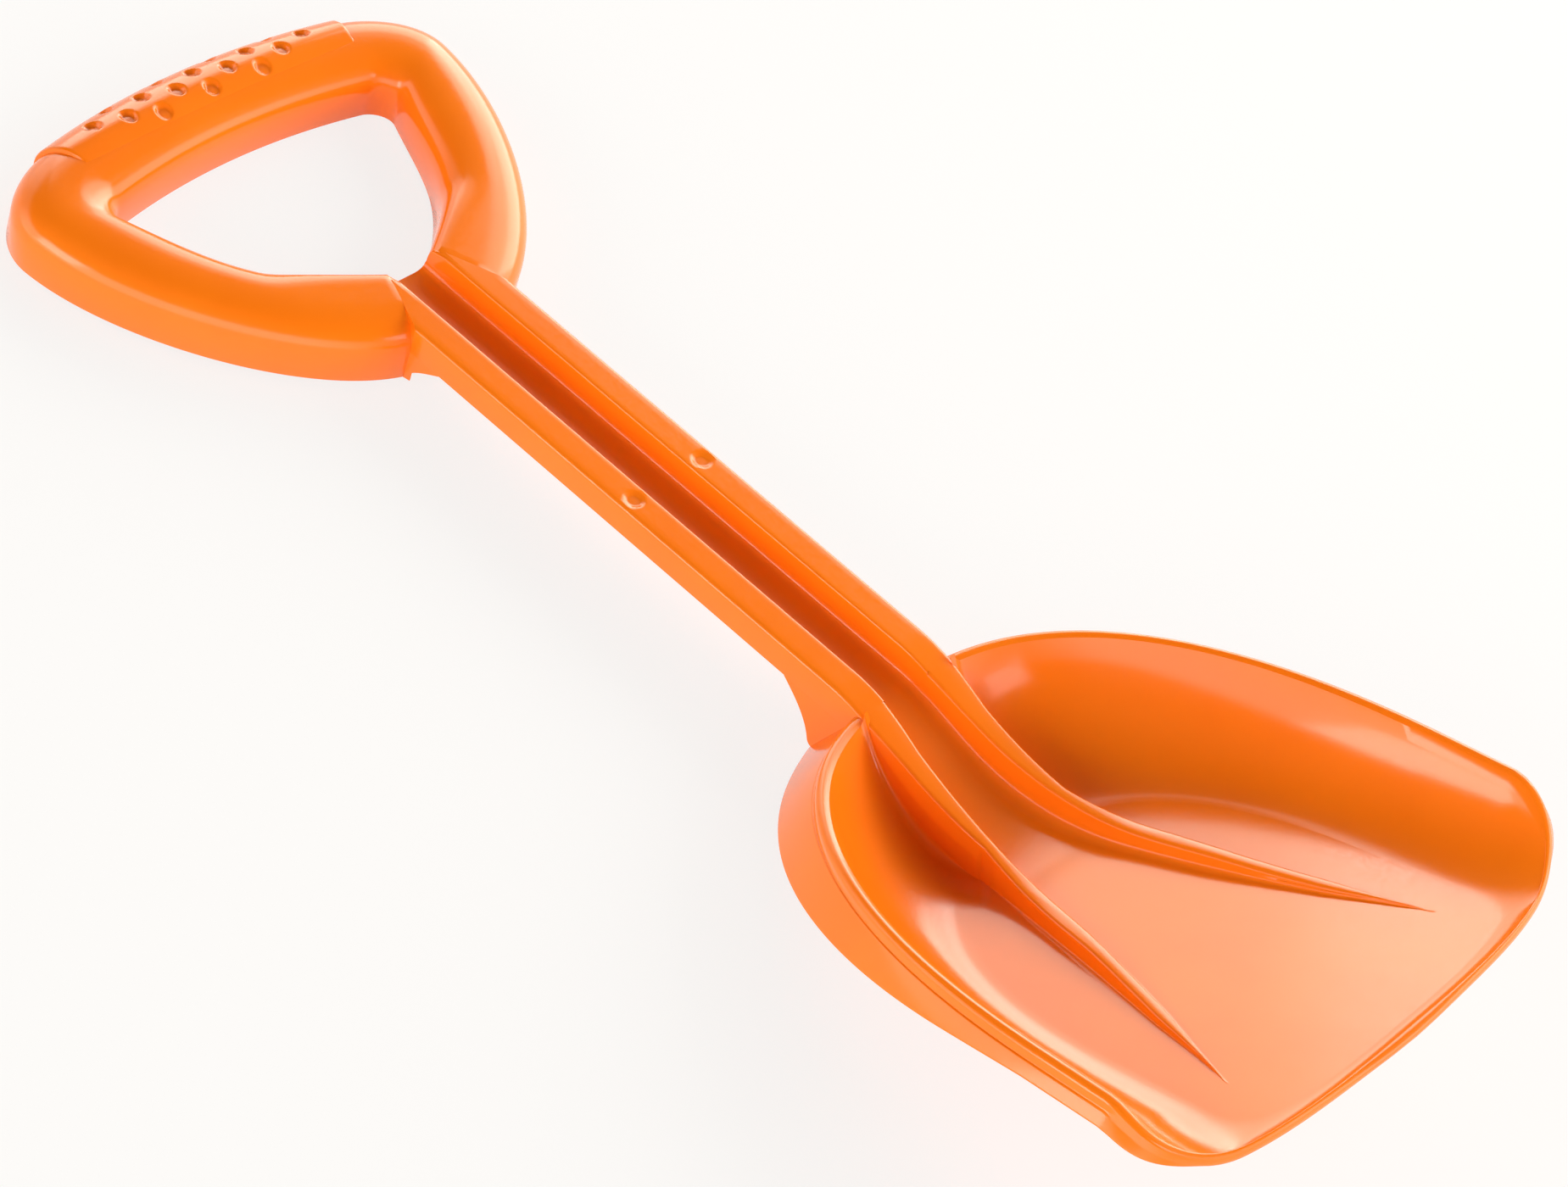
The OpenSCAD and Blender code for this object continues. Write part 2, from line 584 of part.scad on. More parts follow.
// Lying pose: the line under the shovel touches the grip's end and the lowest place behind the blade
grip_edge = side_view(shaft_len + grip_len, -grip_d);
function seen_from_grip(p) = atan2(grip_edge.y - p.y, grip_edge.x - p.x);
skirt_low = rim_point(last, skirt_foot(last).x, skirt_foot(last).y);
low_places = concat(
    [[back_y + gusset_foot - gusset_r, gusset_z], [skirt_low.y, skirt_low.z]],
    [for (k = [0:rest_steps])
        let (y = mix(ramp_y, back_y, k/rest_steps))
        [y, ramp_z(y) - shell_t]]);
rest = max([for (p = low_places) seen_from_grip(p)]);
function along(p) = p.x*cos(rest) + p.y*sin(rest);
function above(p) = p.y*cos(rest) - p.x*sin(rest);
nose_mid = (wall_top(0, 1) + wall_under(0, 1))/2;
front_end = along([nose_mid.y, nose_mid.z]) - shell_t/2;
rear_end = along(side_view(shaft_len + grip_len + pad_t, -crown_h));
module placed() {
    translate([0, -(front_end + rear_end)/2, -above(grip_edge)])
        rotate([-rest, 0, 0])
            children();
}
module flipped() {
    mirror([1, 0, 0])
        children();
}

module blade_floor() {
    color(orange)
        placed()
            floor_plate();
}
module left_wall() {
    color(orange)
        placed()
            flipped()
                wall();
}
module right_wall() {
    color(orange)
        placed()
            wall();
}
module blade_ramp() {
    color(orange)
        placed()
            ramp();
}
module left_lip() {
    color(orange)
        placed()
            flipped()
                lip();
}
module right_lip() {
    color(orange)
        placed()
            lip();
}
module left_skirt() {
    color(orange)
        placed()
            flipped()
                skirt();
}
module right_skirt() {
    color(orange)
        placed()
            skirt();
}
module left_rib() {
    color(orange)
        placed()
            flipped()
                rib();
}
module right_rib() {
    color(orange)
        placed()
            rib();
}
module channel_floor() {
    color(orange)
        placed()
            web();
}
module left_rail() {
    color(orange)
        placed()
            flipped()
                rail();
}
module right_rail() {
    color(orange)
        placed()
            rail();
}
module left_heel_gusset() {
    color(orange)
        placed()
            flipped()
                heel_gusset();
}
module right_heel_gusset() {
    color(orange)
        placed()
            heel_gusset();
}
module left_grip_gusset() {
    color(orange)
        placed()
            flipped()
                grip_gusset();
}
module right_grip_gusset() {
    color(orange)
        placed()
            grip_gusset();
}
module left_arm() {
    color(orange)
        placed()
            flipped()
                arm();
}
module right_arm() {
    color(orange)
        placed()
            arm();
}
module crossbar() {
    color(orange)
        placed()
            bar();
}
module grip_pad() {
    color(orange)
        placed()
            pad();
}

blade_floor();
left_wall();
right_wall();
blade_ramp();
left_lip();
right_lip();
left_skirt();
right_skirt();
left_rib();
right_rib();
channel_floor();
left_rail();
right_rail();
left_heel_gusset();
right_heel_gusset();
left_grip_gusset();
right_grip_gusset();
left_arm();
right_arm();
crossbar();
grip_pad();
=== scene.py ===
import math

import bmesh
import bpy
import numpy as np
from mathutils import Matrix


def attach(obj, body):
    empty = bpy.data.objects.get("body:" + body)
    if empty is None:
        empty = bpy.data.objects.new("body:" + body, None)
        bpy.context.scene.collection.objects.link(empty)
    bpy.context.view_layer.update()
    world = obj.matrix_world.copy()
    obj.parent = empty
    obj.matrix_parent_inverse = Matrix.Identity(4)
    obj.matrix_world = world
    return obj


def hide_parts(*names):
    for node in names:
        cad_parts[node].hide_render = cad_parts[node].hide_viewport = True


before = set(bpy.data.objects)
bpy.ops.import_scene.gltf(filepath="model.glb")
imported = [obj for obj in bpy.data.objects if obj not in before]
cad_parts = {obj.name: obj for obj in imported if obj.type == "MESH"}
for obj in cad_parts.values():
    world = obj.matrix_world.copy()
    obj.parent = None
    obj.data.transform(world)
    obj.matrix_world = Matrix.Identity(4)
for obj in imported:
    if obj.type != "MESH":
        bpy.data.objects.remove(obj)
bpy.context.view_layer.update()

bl_info = {
    "name": "Sand shovel",
    "version": (1, 0, 0),
    "blender": (4, 5, 0),
    "location": "View3D > Sidebar > Shovel",
    "description": "Builds the looks of a moulded sand shovel on its packed frame",
    "category": "Object",
}

BODY = "root"
MM = 0.001


def size_prop(name, text, value):
    """A length that a user may change, with its default given in millimetres."""
    return bpy.props.FloatProperty(
        name=name, description=text, default=value * MM, min=0.0, precision=4, unit="LENGTH")


class ShovelBladeSizes(bpy.types.PropertyGroup):
    """Sizes of the scoop, its rim and its ribs."""
    shell_t: size_prop("Wall", "Thickness of the moulded wall", 2.4)
    blade_w: size_prop("Front width", "Width between the rim lines at the front", 150)
    back_w: size_prop("Back width", "Width that the sides taper to", 139)
    nose_len: size_prop("Nose", "Length of the bowed nose", 24)
    side_len: size_prop("Sides", "Length of the straight sides", 15.5)
    bow_len: size_prop("Back", "Length of the rounded back", 100)
    wall_w: size_prop("Wall width", "Width of the curved wall at the sides", 25)
    wall_len: size_prop("Wall length", "Length of the curved wall at the back", 33)
    lip_len: size_prop("Lip", "Length of the curved lip at the nose", 3.6)
    rim_front_h: size_prop("Front rim", "Rim height at the front", 16.2)
    rim_back_h: size_prop("Back rim", "Rim height at the back", 28)
    lip_h: size_prop("Lip height", "Height of the lip at the nose", 1.2)
    bead_r: size_prop("Bead", "Radius of the bead on the rim", 1.7)
    groove_w: size_prop("Groove width", "Width of the groove outside the bead", 0.7)
    groove_d: size_prop("Groove depth", "Depth of the groove below the rim", 2.0)
    skirt_front_z: size_prop("Skirt front", "Height of the skirt's edge in front", 11.4)
    skirt_back_z: size_prop("Skirt edge", "Height of the skirt's level edge", 14)
    skirt_rise_len: size_prop("Skirt rise", "Length over which that edge rises", 40)
    rib_tip_inset: size_prop("Rib tips", "Rib tips inside the floor's edge", 10)
    rib_tip_set: size_prop("Rib set", "Rib tips behind the nose", 19.5)
    rib_tip_w: size_prop("Rib tip width", "Width of a rib at its tip", 1.2)
    rib_tip_h: size_prop("Rib tip height", "Height of a rib near its tip", 0.4)
    ramp_len: size_prop("Ramp", "Length of the ramp between the ribs", 52)
    gusset_reach: size_prop("Gusset reach", "Reach of a heel gusset behind the blade", 23)
    gusset_foot: size_prop("Gusset foot", "Reach of its lower corner", 16)
    gusset_z: size_prop("Gusset height", "Height of its lower edge", 14)
    gusset_r: size_prop("Gusset corner", "Radius of its lower corner", 2.4)


class ShovelHandleSizes(bpy.types.PropertyGroup):
    """Sizes of the shaft and of the grip."""
    root_h: size_prop("Root height", "Height of the rail tops at the blade", 30.4)
    shaft_len: size_prop("Shaft", "Length of the shaft", 145.6)
    shaft_w: size_prop("Shaft width", "Width over both rails", 32.6)
    trough_w: size_prop("Trough width", "Width of the trough", 15.2)
    trough_d: size_prop("Trough depth", "Depth of the trough", 7.2)
    rail_h: size_prop("Rail height", "Height of the rails' outer walls", 7.4)
    edge_r: size_prop("Rail edge", "Radius of the rails' upper edges", 1.3)
    recess_d: size_prop("Recess", "Diameter of the recess in each rail", 6.2)
    recess_depth: size_prop("Recess depth", "Depth of that recess", 0.7)
    grip_w: size_prop("Grip width", "Width over both arms", 140.4)
    grip_len: size_prop("Grip length", "Length of the grip", 102)
    grip_d: size_prop("Grip depth", "Depth of the grip's section", 16)
    crown_h: size_prop("Crown", "Height of the section's rounded top", 8.5)
    corner_len: size_prop("Corner length", "Length of the outer corners", 26)
    corner_w: size_prop("Corner width", "Width of the outer corners", 21.2)
    bar_bow: size_prop("Bar bow", "Bow of the crossbar's outer side", 5.1)
    bar_w: size_prop("Bar width", "Width of the crossbar", 22.8)
    bar_inner_bow: size_prop("Inner bow", "Bow of its inner side", 4.4)
    opening_w: size_prop("Opening", "Width of the hand opening", 93.2)
    inner_corner_len: size_prop("Inner corner", "Length of its corners", 11.7)
    inner_corner_w: size_prop("Inner corner width", "Width of its corners", 4.6)
    crotch_len: size_prop("Crotch", "From the arm's outer to its inner root", 19.4)
    grip_gusset_len: size_prop("Grip gusset", "Length of a grip gusset", 10)
    pad_t: size_prop("Pad", "Height of the pad above the crossbar", 1.5)
    pad_reach: size_prop("Pad reach", "Reach of the pad down the outer wall", 5)
    dimple_d: size_prop("Dimple", "Diameter of a dimple", 5)
    dimple_depth: size_prop("Dimple depth", "Depth of a dimple", 0.7)
    dimple_pitch: size_prop("Dimple pitch", "Distance between dimples", 18)


class ShovelLooks(bpy.types.PropertyGroup):
    """Colour and finish of the plastic, and the stage."""
    orange: bpy.props.StringProperty(
        name="Orange", description="Colour of the plastic, sRGB hex", default="FB7C12")
    deep: bpy.props.StringProperty(
        name="Deep orange", description="Colour of its faint darker clouds, sRGB hex",
        default="F87810")
    roughness: bpy.props.FloatProperty(
        name="Roughness", description="Roughness of the moulded gloss", default=0.15,
        min=0, max=1, subtype="FACTOR")
    grain: size_prop("Grain", "Width of the spark-eroded grain", 0.9)
    floor: bpy.props.StringProperty(
        name="Floor", description="Colour of the floor, sRGB hex", default="FBFAF9")


# Angle of the shaft above the blade's floor, and of the skirt from upright at its front and its back
LIFT = math.radians(20)
SKIRT_ANGLES = (36, 46)
# Powers of the curves: back and nose seen from above, ramp, rib crests, rim's drop and skirt's turn
BOW_POWER, NOSE_POWER, RAMP_POWER, RIB_POWER = 2.5, 3, 2.2, 3.7
DROP_POWER, TURN_POWER = 1.6, 5
# Sines of the wall's arc at the sides and the nose, and shares of the nose where the rim drops
WALL_ARC, NOSE_ARC, DROP_SHARE, CORNER_SHARE = 0.95, 0.6, 0.55, 0.5
# Difference of slope between the rail tops and the ribs, and between the trough and the ramp
CREST_BEND, RAMP_BEND = 0.56, 0.6
# Handles of the curves, as shares of their spans
ARM_OUTER = ((0.49, 0.11), (0.98, 0.63))
CORNER_OUTER = ((0, 0.6), (0.68, 0.935))
ARM_INNER = ((0.72, 0.35), (0.74, 0.54))
CORNER_INNER = ((-0.32, 0.44), (0.35, 0.91))
RIB_OUTER, RIB_INNER = (0.16, 0.214), (0, 0.42)
GUSSET = ((0.45, 0.3), (0.92, 0.6))
# Rows of dimples: angle round the crossbar from its inner side, and count
DIMPLE_ROWS = ((86, 3), (104, 4), (122, 5), (143, 4), (168, 3))


def mix(a, b, s):
    """Goes from a to b as s goes from 0 to 1."""
    return a + (b - a) * s


def clip(s):
    """Keeps s between 0 and 1."""
    return np.clip(s, 0, 1)


def smooth(s):
    """Eases from 0 to 1."""
    s = clip(s)
    return s * s * (3 - 2 * s)


def bezier(p, t, shares, s):
    """Points of a curve from p to t whose handles are shares of the span."""
    p, t, s = np.array(p, float), np.array(t, float), np.asarray(s)[..., None]
    q, r = (p + (t - p) * np.array(c) for c in shares)
    return (1 - s) ** 3 * p + 3 * (1 - s) ** 2 * s * q + 3 * (1 - s) * s * s * r + s ** 3 * t


def bezier2(p, t, share, s):
    """Points of a curve from p to t with one handle."""
    p, t, s = np.array(p, float), np.array(t, float), np.asarray(s)[..., None]
    q = p + (t - p) * np.array(share)
    return (1 - s) ** 2 * p + 2 * (1 - s) * s * q + s * s * t


def rounded(points, radii, steps=5):
    """A path with each inner corner turned into a curve that starts its radius away."""
    points = [np.array(p, float) for p in points]
    out = [points[0]]
    for a, b, c, r in zip(points, points[1:], points[2:], radii):
        la, lc = np.linalg.norm(a - b), np.linalg.norm(c - b)
        r = min(r, 0.48 * la, 0.48 * lc)
        p, q = b + (a - b) / la * r, b + (c - b) / lc * r
        for s in np.linspace(0, 1, steps + 1):
            out.append((1 - s) ** 2 * p + 2 * (1 - s) * s * b + s * s * q)
    out.append(points[-1])
    return np.array(out)


class Shape:
    """The shovel's lines in millimetres: the blade's floor is level and +Y runs from nose to grip."""

    def __init__(self):
        for group in (bpy.context.scene.shovel_blade, bpy.context.scene.shovel_handle):
            for name in group.__annotations__:
                setattr(self, name, round(getattr(group, name) / MM, 4))
        self.back_y = self.side_len + self.bow_len
        self.rail_x, self.trough_x = self.shaft_w / 2, self.trough_w / 2
        self.floor_x = self.blade_w / 2 - self.wall_w
        self.side_share = self.floor_x / (self.blade_w / 2)
        self.bow_share = 1 - self.wall_len / self.bow_len
        self.lip_share = 1 - self.lip_len / self.nose_len
        self.tip_y = self.rib_tip_set - self.nose_len
        self.tip_x = self.floor_x - self.rib_tip_inset
        self.ramp_y = self.back_y - self.ramp_len
        self.ramp_h = self.root_h - self.trough_d / math.cos(LIFT)
        self.root_y = float(self.plan(2.0, 0.0)[1])
        self.bar_x = self.grip_w / 2 - self.corner_w
        self.ease = 5.0
        self.place = self.lying()

    def half_w(self, y):
        return mix(self.blade_w, self.back_w, y / self.back_y) / 2

    def bow(self, s0, s1, a):
        y = self.side_len + self.bow_len * s1 * np.sin(a) ** (2 / BOW_POWER)
        return np.array([self.half_w(y) * s0 * np.cos(a) ** (2 / BOW_POWER), y])

    def plan(self, w, u):
        """Place seen from above: w runs round the rim from the nose (0) past the side (1) to the
        shaft (2), and u from the wall's foot (0) to the rim (1)."""
        if w <= 1:
            a = math.pi / 2 * (1 - w)
            f = mix(self.side_share, self.lip_share, smooth((1 - w) / DROP_SHARE))
            s0, s1 = mix(mix(self.side_share, f, CORNER_SHARE), 1, u), mix(f, 1, u)
            return np.array([self.half_w(0) * s0 * np.cos(a) ** (2 / NOSE_POWER),
                             -self.nose_len * s1 * np.sin(a) ** (2 / NOSE_POWER)])
        s0, s1 = mix(self.side_share, 1, u), mix(self.bow_share, 1, u)
        low, high = 0.0, math.pi / 2
        for _ in range(34):
            a = (low + high) / 2
            low, high = (a, high) if self.bow(s0, s1, a)[0] > self.rail_x else (low, a)
        return self.bow(s0, s1, low * (w - 1))

    def rim_h(self, w):
        if w <= 1:
            return mix(self.lip_h, self.rim_front_h, (1 - clip((1 - w) / DROP_SHARE)) ** DROP_POWER)
        return mix(self.rim_front_h, self.rim_back_h, self.plan(w, 1)[1] / self.back_y)

    def rise(self, w, u):
        c = WALL_ARC if w > 1 else mix(WALL_ARC, NOSE_ARC, smooth((1 - w) / DROP_SHARE))
        return self.rim_h(w) * (1 - np.sqrt(1 - c * c * u * u)) / (1 - math.sqrt(1 - c * c))

    def top(self, w, u):
        return np.array([*self.plan(w, u), self.rise(w, u)])

    def out(self, w, u):
        """Outward direction seen from above, and the wall's slope along it."""
        e = 1e-3
        run = self.plan(w, min(1, u + e)) - self.plan(w, max(0, u - e))
        n = np.linalg.norm(run)
        return run / n, (self.rise(w, min(1, u + e)) - self.rise(w, max(0, u - e))) / n

    def under(self, w, u):
        if u == 0:
            return self.top(w, u) - np.array([0, 0, self.shell_t])
        d, s = self.out(w, u)
        return self.top(w, u) + self.shell_t * np.array([d[0] * s, d[1] * s, -1]) / math.sqrt(1 + s * s)

    def rim_point(self, w, d, z):
        o, _ = self.out(w, 1)
        return self.top(w, 1) + np.array([o[0] * d, o[1] * d, z])

    def skirt(self, w):
        """Angle of the skirt, its fold and its lower edge, out and up from the rim line."""
        a = math.radians(mix(*SKIRT_ANGLES, clip(w - 1) ** TURN_POWER))
        early = (1 - clip(self.plan(w, 1)[1] / self.skirt_rise_len)) ** 2
        z = mix(self.skirt_back_z, self.skirt_front_z, early)
        fold = np.array([2 * self.bead_r + self.groove_w, -self.groove_d])
        foot = fold + (self.rim_h(w) - z - self.groove_d) * np.array([math.tan(a), -1])
        return a, fold, foot

    def ramp_z(self, y):
        return self.ramp_h * clip((np.asarray(y, float) - self.ramp_y) / self.ramp_len) ** RAMP_POWER

    def rail_line(self, y):
        return self.root_h + (np.asarray(y, float) - self.back_y) * math.tan(LIFT)

    def crest(self, y):
        t = clip((np.asarray(y, float) - self.tip_y) / (self.back_y - self.tip_y))
        z = mix(self.rib_tip_h, self.root_h, t ** RIB_POWER)
        return z - self.eased(y, CREST_BEND)

    def channel(self, y):
        """Height of the ramp, eased into the shaft's trough."""
        return self.ramp_z(y) - self.eased(y, RAMP_BEND)

    def eased(self, y, bend):
        """Height taken off the corner between blade and shaft, whose slopes differ by bend."""
        h = np.maximum(self.ease - np.abs(np.asarray(y, float) - self.back_y) * bend, 0) / self.ease
        return h * h * self.ease / 4

    def wall_end(self, y):
        u = clip((np.asarray(y, float) - self.root_y) / (self.plan(2.0, 1.0)[1] - self.root_y))
        return self.rim_h(2.0) * (1 - np.sqrt(1 - WALL_ARC ** 2 * u * u)) / (1 - math.sqrt(1 - WALL_ARC ** 2))

    def rib_lines(self, ys):
        """Inner and outer sides of the right rib at places ys."""
        s = np.linspace(0, 1, 400)
        half = self.rib_tip_w / 2
        inner = bezier2((self.trough_x, self.back_y), (self.tip_x - half, self.tip_y), RIB_INNER, s)
        outer = bezier2((self.rail_x, self.root_y), (self.tip_x + half, self.tip_y), RIB_OUTER, s)
        xi = np.interp(ys, inner[::-1, 1], inner[::-1, 0])
        xo = np.interp(ys, outer[::-1, 1], outer[::-1, 0])
        return xi, np.where(ys >= self.root_y, self.rail_x, xo)

    def shaft(self, x, n, k):
        x, n, k = np.broadcast_arrays(np.asarray(x, float), n, k)
        return np.stack([x, self.back_y + n * math.cos(LIFT) - k * math.sin(LIFT),
                         self.root_h + n * math.sin(LIFT) + k * math.cos(LIFT)], -1)

    def lying(self):
        """Turn and shift from the level blade to the shovel as it lies."""
        def side(n, k):
            return self.shaft(0, n, k)[1:]
        edge = side(self.shaft_len + self.grip_len, -self.grip_d)
        _, _, foot = self.skirt(2.0)
        low = self.rim_point(2.0, *foot)
        places = [(self.back_y + self.gusset_foot - self.gusset_r, self.gusset_z), (low[1], low[2])]
        places += [(y, float(self.ramp_z(y)) - self.shell_t)
                   for y in np.linspace(self.ramp_y, self.back_y, 21)]
        rest = max(math.atan2(edge[1] - z, edge[0] - y) for y, z in places)
        c, s = math.cos(rest), math.sin(rest)
        mid = (self.top(0.0, 1.0) + self.under(0.0, 1.0)) / 2
        tail = side(self.shaft_len + self.grip_len + self.pad_t, -self.crown_h)
        front = mid[1] * c + mid[2] * s - self.shell_t / 2
        rear = tail[0] * c + tail[1] * s
        turn = Matrix.Rotation(-rest, 4, "X")
        shift = Matrix.Translation((0, -(front + rear) / 2, -(edge[1] * c - edge[0] * s)))
        return shift @ turn


class MeshMaker:
    """Collects grids of points and faces for one piece, in millimetres."""

    def __init__(self):
        self.points, self.faces, self.count = [], [], 0

    def add(self, points):
        points = np.asarray(points, float).reshape(-1, 3)
        start = self.count
        self.points.append(points)
        self.count += len(points)
        return start

    def grid(self, rows, closed=False, flip=False):
        """Faces over rows of points; closed joins each row's end to its start."""
        rows = np.asarray(rows, float)
        n, m = rows.shape[:2]
        start = self.add(rows)
        for i in range(n - 1):
            for k in range(m if closed else m - 1):
                a, b = start + i * m + k, start + i * m + (k + 1) % m
                q = (a, b, b + m, a + m)
                self.faces.append(q[::-1] if flip else q)
        return start

    def face(self, points, flip=False):
        start = self.add(points)
        ids = tuple(range(start, self.count))
        self.faces.append(ids[::-1] if flip else ids)

    def mirror(self):
        """Adds the other half of the piece."""
        shift = self.count
        other = [p * np.array([-1, 1, 1]) for p in self.points]
        self.points += other
        self.faces += [tuple(i + shift for i in f[::-1]) for f in self.faces]
        self.count *= 2

    def piece(self, name, place, nodes, merge=0.002):
        """Makes the piece that stands for these nodes; points within merge of each other join."""
        mesh = bpy.data.meshes.new(name)
        mesh.from_pydata([tuple(p) for p in np.concatenate(self.points)], [], self.faces)
        obj = bpy.data.objects.new(name, mesh)
        bpy.context.scene.collection.objects.link(obj)
        finish_mesh(mesh, merge)
        mesh.transform(Matrix.Scale(MM, 4) @ place)
        mesh.materials.append(plastic())
        mesh.update()
        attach(obj, BODY)
        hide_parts(*nodes)
        return obj


# Edges that turn by more than this stay sharp
SHARP = math.radians(38)


def finish_mesh(mesh, merge):
    """Joins points that coincide, turns the faces outwards and shades all but sharp edges smooth."""
    bm = bmesh.new()
    bm.from_mesh(mesh)
    bmesh.ops.remove_doubles(bm, verts=bm.verts, dist=merge)
    bmesh.ops.dissolve_degenerate(bm, edges=bm.edges, dist=merge)
    bmesh.ops.recalc_face_normals(bm, faces=bm.faces)
    if sum(f.calc_area() * f.normal.dot(f.calc_center_median()) for f in bm.faces) < 0:
        bmesh.ops.reverse_faces(bm, faces=bm.faces)
    for f in bm.faces:
        f.smooth = True
    for e in bm.edges:
        if len(e.link_faces) == 2 and e.calc_face_angle(0) > SHARP:
            e.smooth = False
    bm.to_mesh(mesh)
    bm.free()


def linear(code):
    """Linear colour from an sRGB hex code."""
    c = [int(code[i:i + 2], 16) / 255 for i in (0, 2, 4)]
    return tuple(v / 12.92 if v <= 0.04045 else ((v + 0.055) / 1.055) ** 2.4 for v in c) + (1.0,)


def node(tree, kind, settings=None, links=None):
    """Adds one node with its settings and the sockets linked into it."""
    n = tree.nodes.new(kind)
    for key, value in (settings or {}).items():
        if isinstance(key, int) or key in n.inputs:
            n.inputs[key].default_value = value
        else:
            setattr(n, key, value)
    for key, socket in (links or {}).items():
        tree.links.new(socket, n.inputs[key])
    return n


# Widths of the colour's faint clouds and of the mould's slow ripple, in metres
CLOUD, RIPPLE = 0.035, 0.014


def plastic():
    """Polypropylene, injection-moulded and self-coloured: an even warm orange with a wet-looking gloss,
    which the very fine grain that spark erosion leaves breaks up a little."""
    name = "polypropylene moulded orange"
    found = bpy.data.materials.get(name)
    if found:
        return found
    looks = bpy.context.scene.shovel_looks
    mat = bpy.data.materials.new(name)
    mat.use_nodes = True
    tree = mat.node_tree
    tree.nodes.clear()
    place = node(tree, "ShaderNodeTexCoord")
    metre = place.outputs["Object"]
    cloud = node(tree, "ShaderNodeTexNoise", {"Scale": 1 / CLOUD, "Detail": 3.0, "Roughness": 0.55},
                 {"Vector": metre})
    ramp = node(tree, "ShaderNodeValToRGB", None, {"Fac": cloud.outputs["Fac"]})
    for stop, at, code in zip(ramp.color_ramp.elements, (0.38, 0.62), (looks.deep, looks.orange)):
        stop.position, stop.color = at, linear(code)
    # The grain is drawn at about twice its real width, because the real one is finer than a pixel
    grain = node(tree, "ShaderNodeTexNoise",
                 {"Scale": 1 / looks.grain, "Detail": 2.0, "Roughness": 0.5}, {"Vector": metre})
    ripple = node(tree, "ShaderNodeTexNoise", {"Scale": 1 / RIPPLE, "Detail": 1.0}, {"Vector": metre})
    fine = node(tree, "ShaderNodeBump", {"Strength": 0.04, "Distance": 0.00012},
                {"Height": grain.outputs["Fac"]})
    soft = node(tree, "ShaderNodeBump", {"Strength": 0.12, "Distance": 0.0002},
                {"Height": ripple.outputs["Fac"], "Normal": fine.outputs["Normal"]})
    rough = node(tree, "ShaderNodeMapRange",
                 {"From Min": 0.35, "From Max": 0.65,
                  "To Min": looks.roughness - 0.03, "To Max": looks.roughness + 0.04},
                 {"Value": grain.outputs["Fac"]})
    shader = node(tree, "ShaderNodeBsdfPrincipled", {"IOR": 1.49, "Metallic": 0.0},
                  {"Base Color": ramp.outputs["Color"], "Roughness": rough.outputs["Result"],
                   "Normal": soft.outputs["Normal"]})
    node(tree, "ShaderNodeOutputMaterial", None, {"Surface": shader.outputs["BSDF"]})
    return mat


def rim_stations():
    """Stations round the rim, closer together next to the shaft."""
    close = 0.9 + 0.1 * (1 - (1 - np.linspace(0, 1, 17)[1:]) ** 2)
    # The last station lies a little inside the shaft, so that no slit shows beside it
    bow = np.concatenate([np.linspace(0, 0.9, 64)[1:], close, [1.012]])
    return np.concatenate([np.linspace(0, 1, 49), 1 + bow])


# Station where the lip at the nose starts to turn into the skirt round the corner
LIP_FROM = 0.6
# Radius and length of the curve by which the wall turns up into a rib
WALL_FILLET, FILLET_RUN = 2.6, 14
# Lip against the wall: thicker and longer by these factors, and set back by a share of half the wall
LIP_THICK, LIP_LONG, LIP_BACK = 1.15, 1.2, 0.4
# Height of the bead against a round one
BEAD_FLAT = 0.86


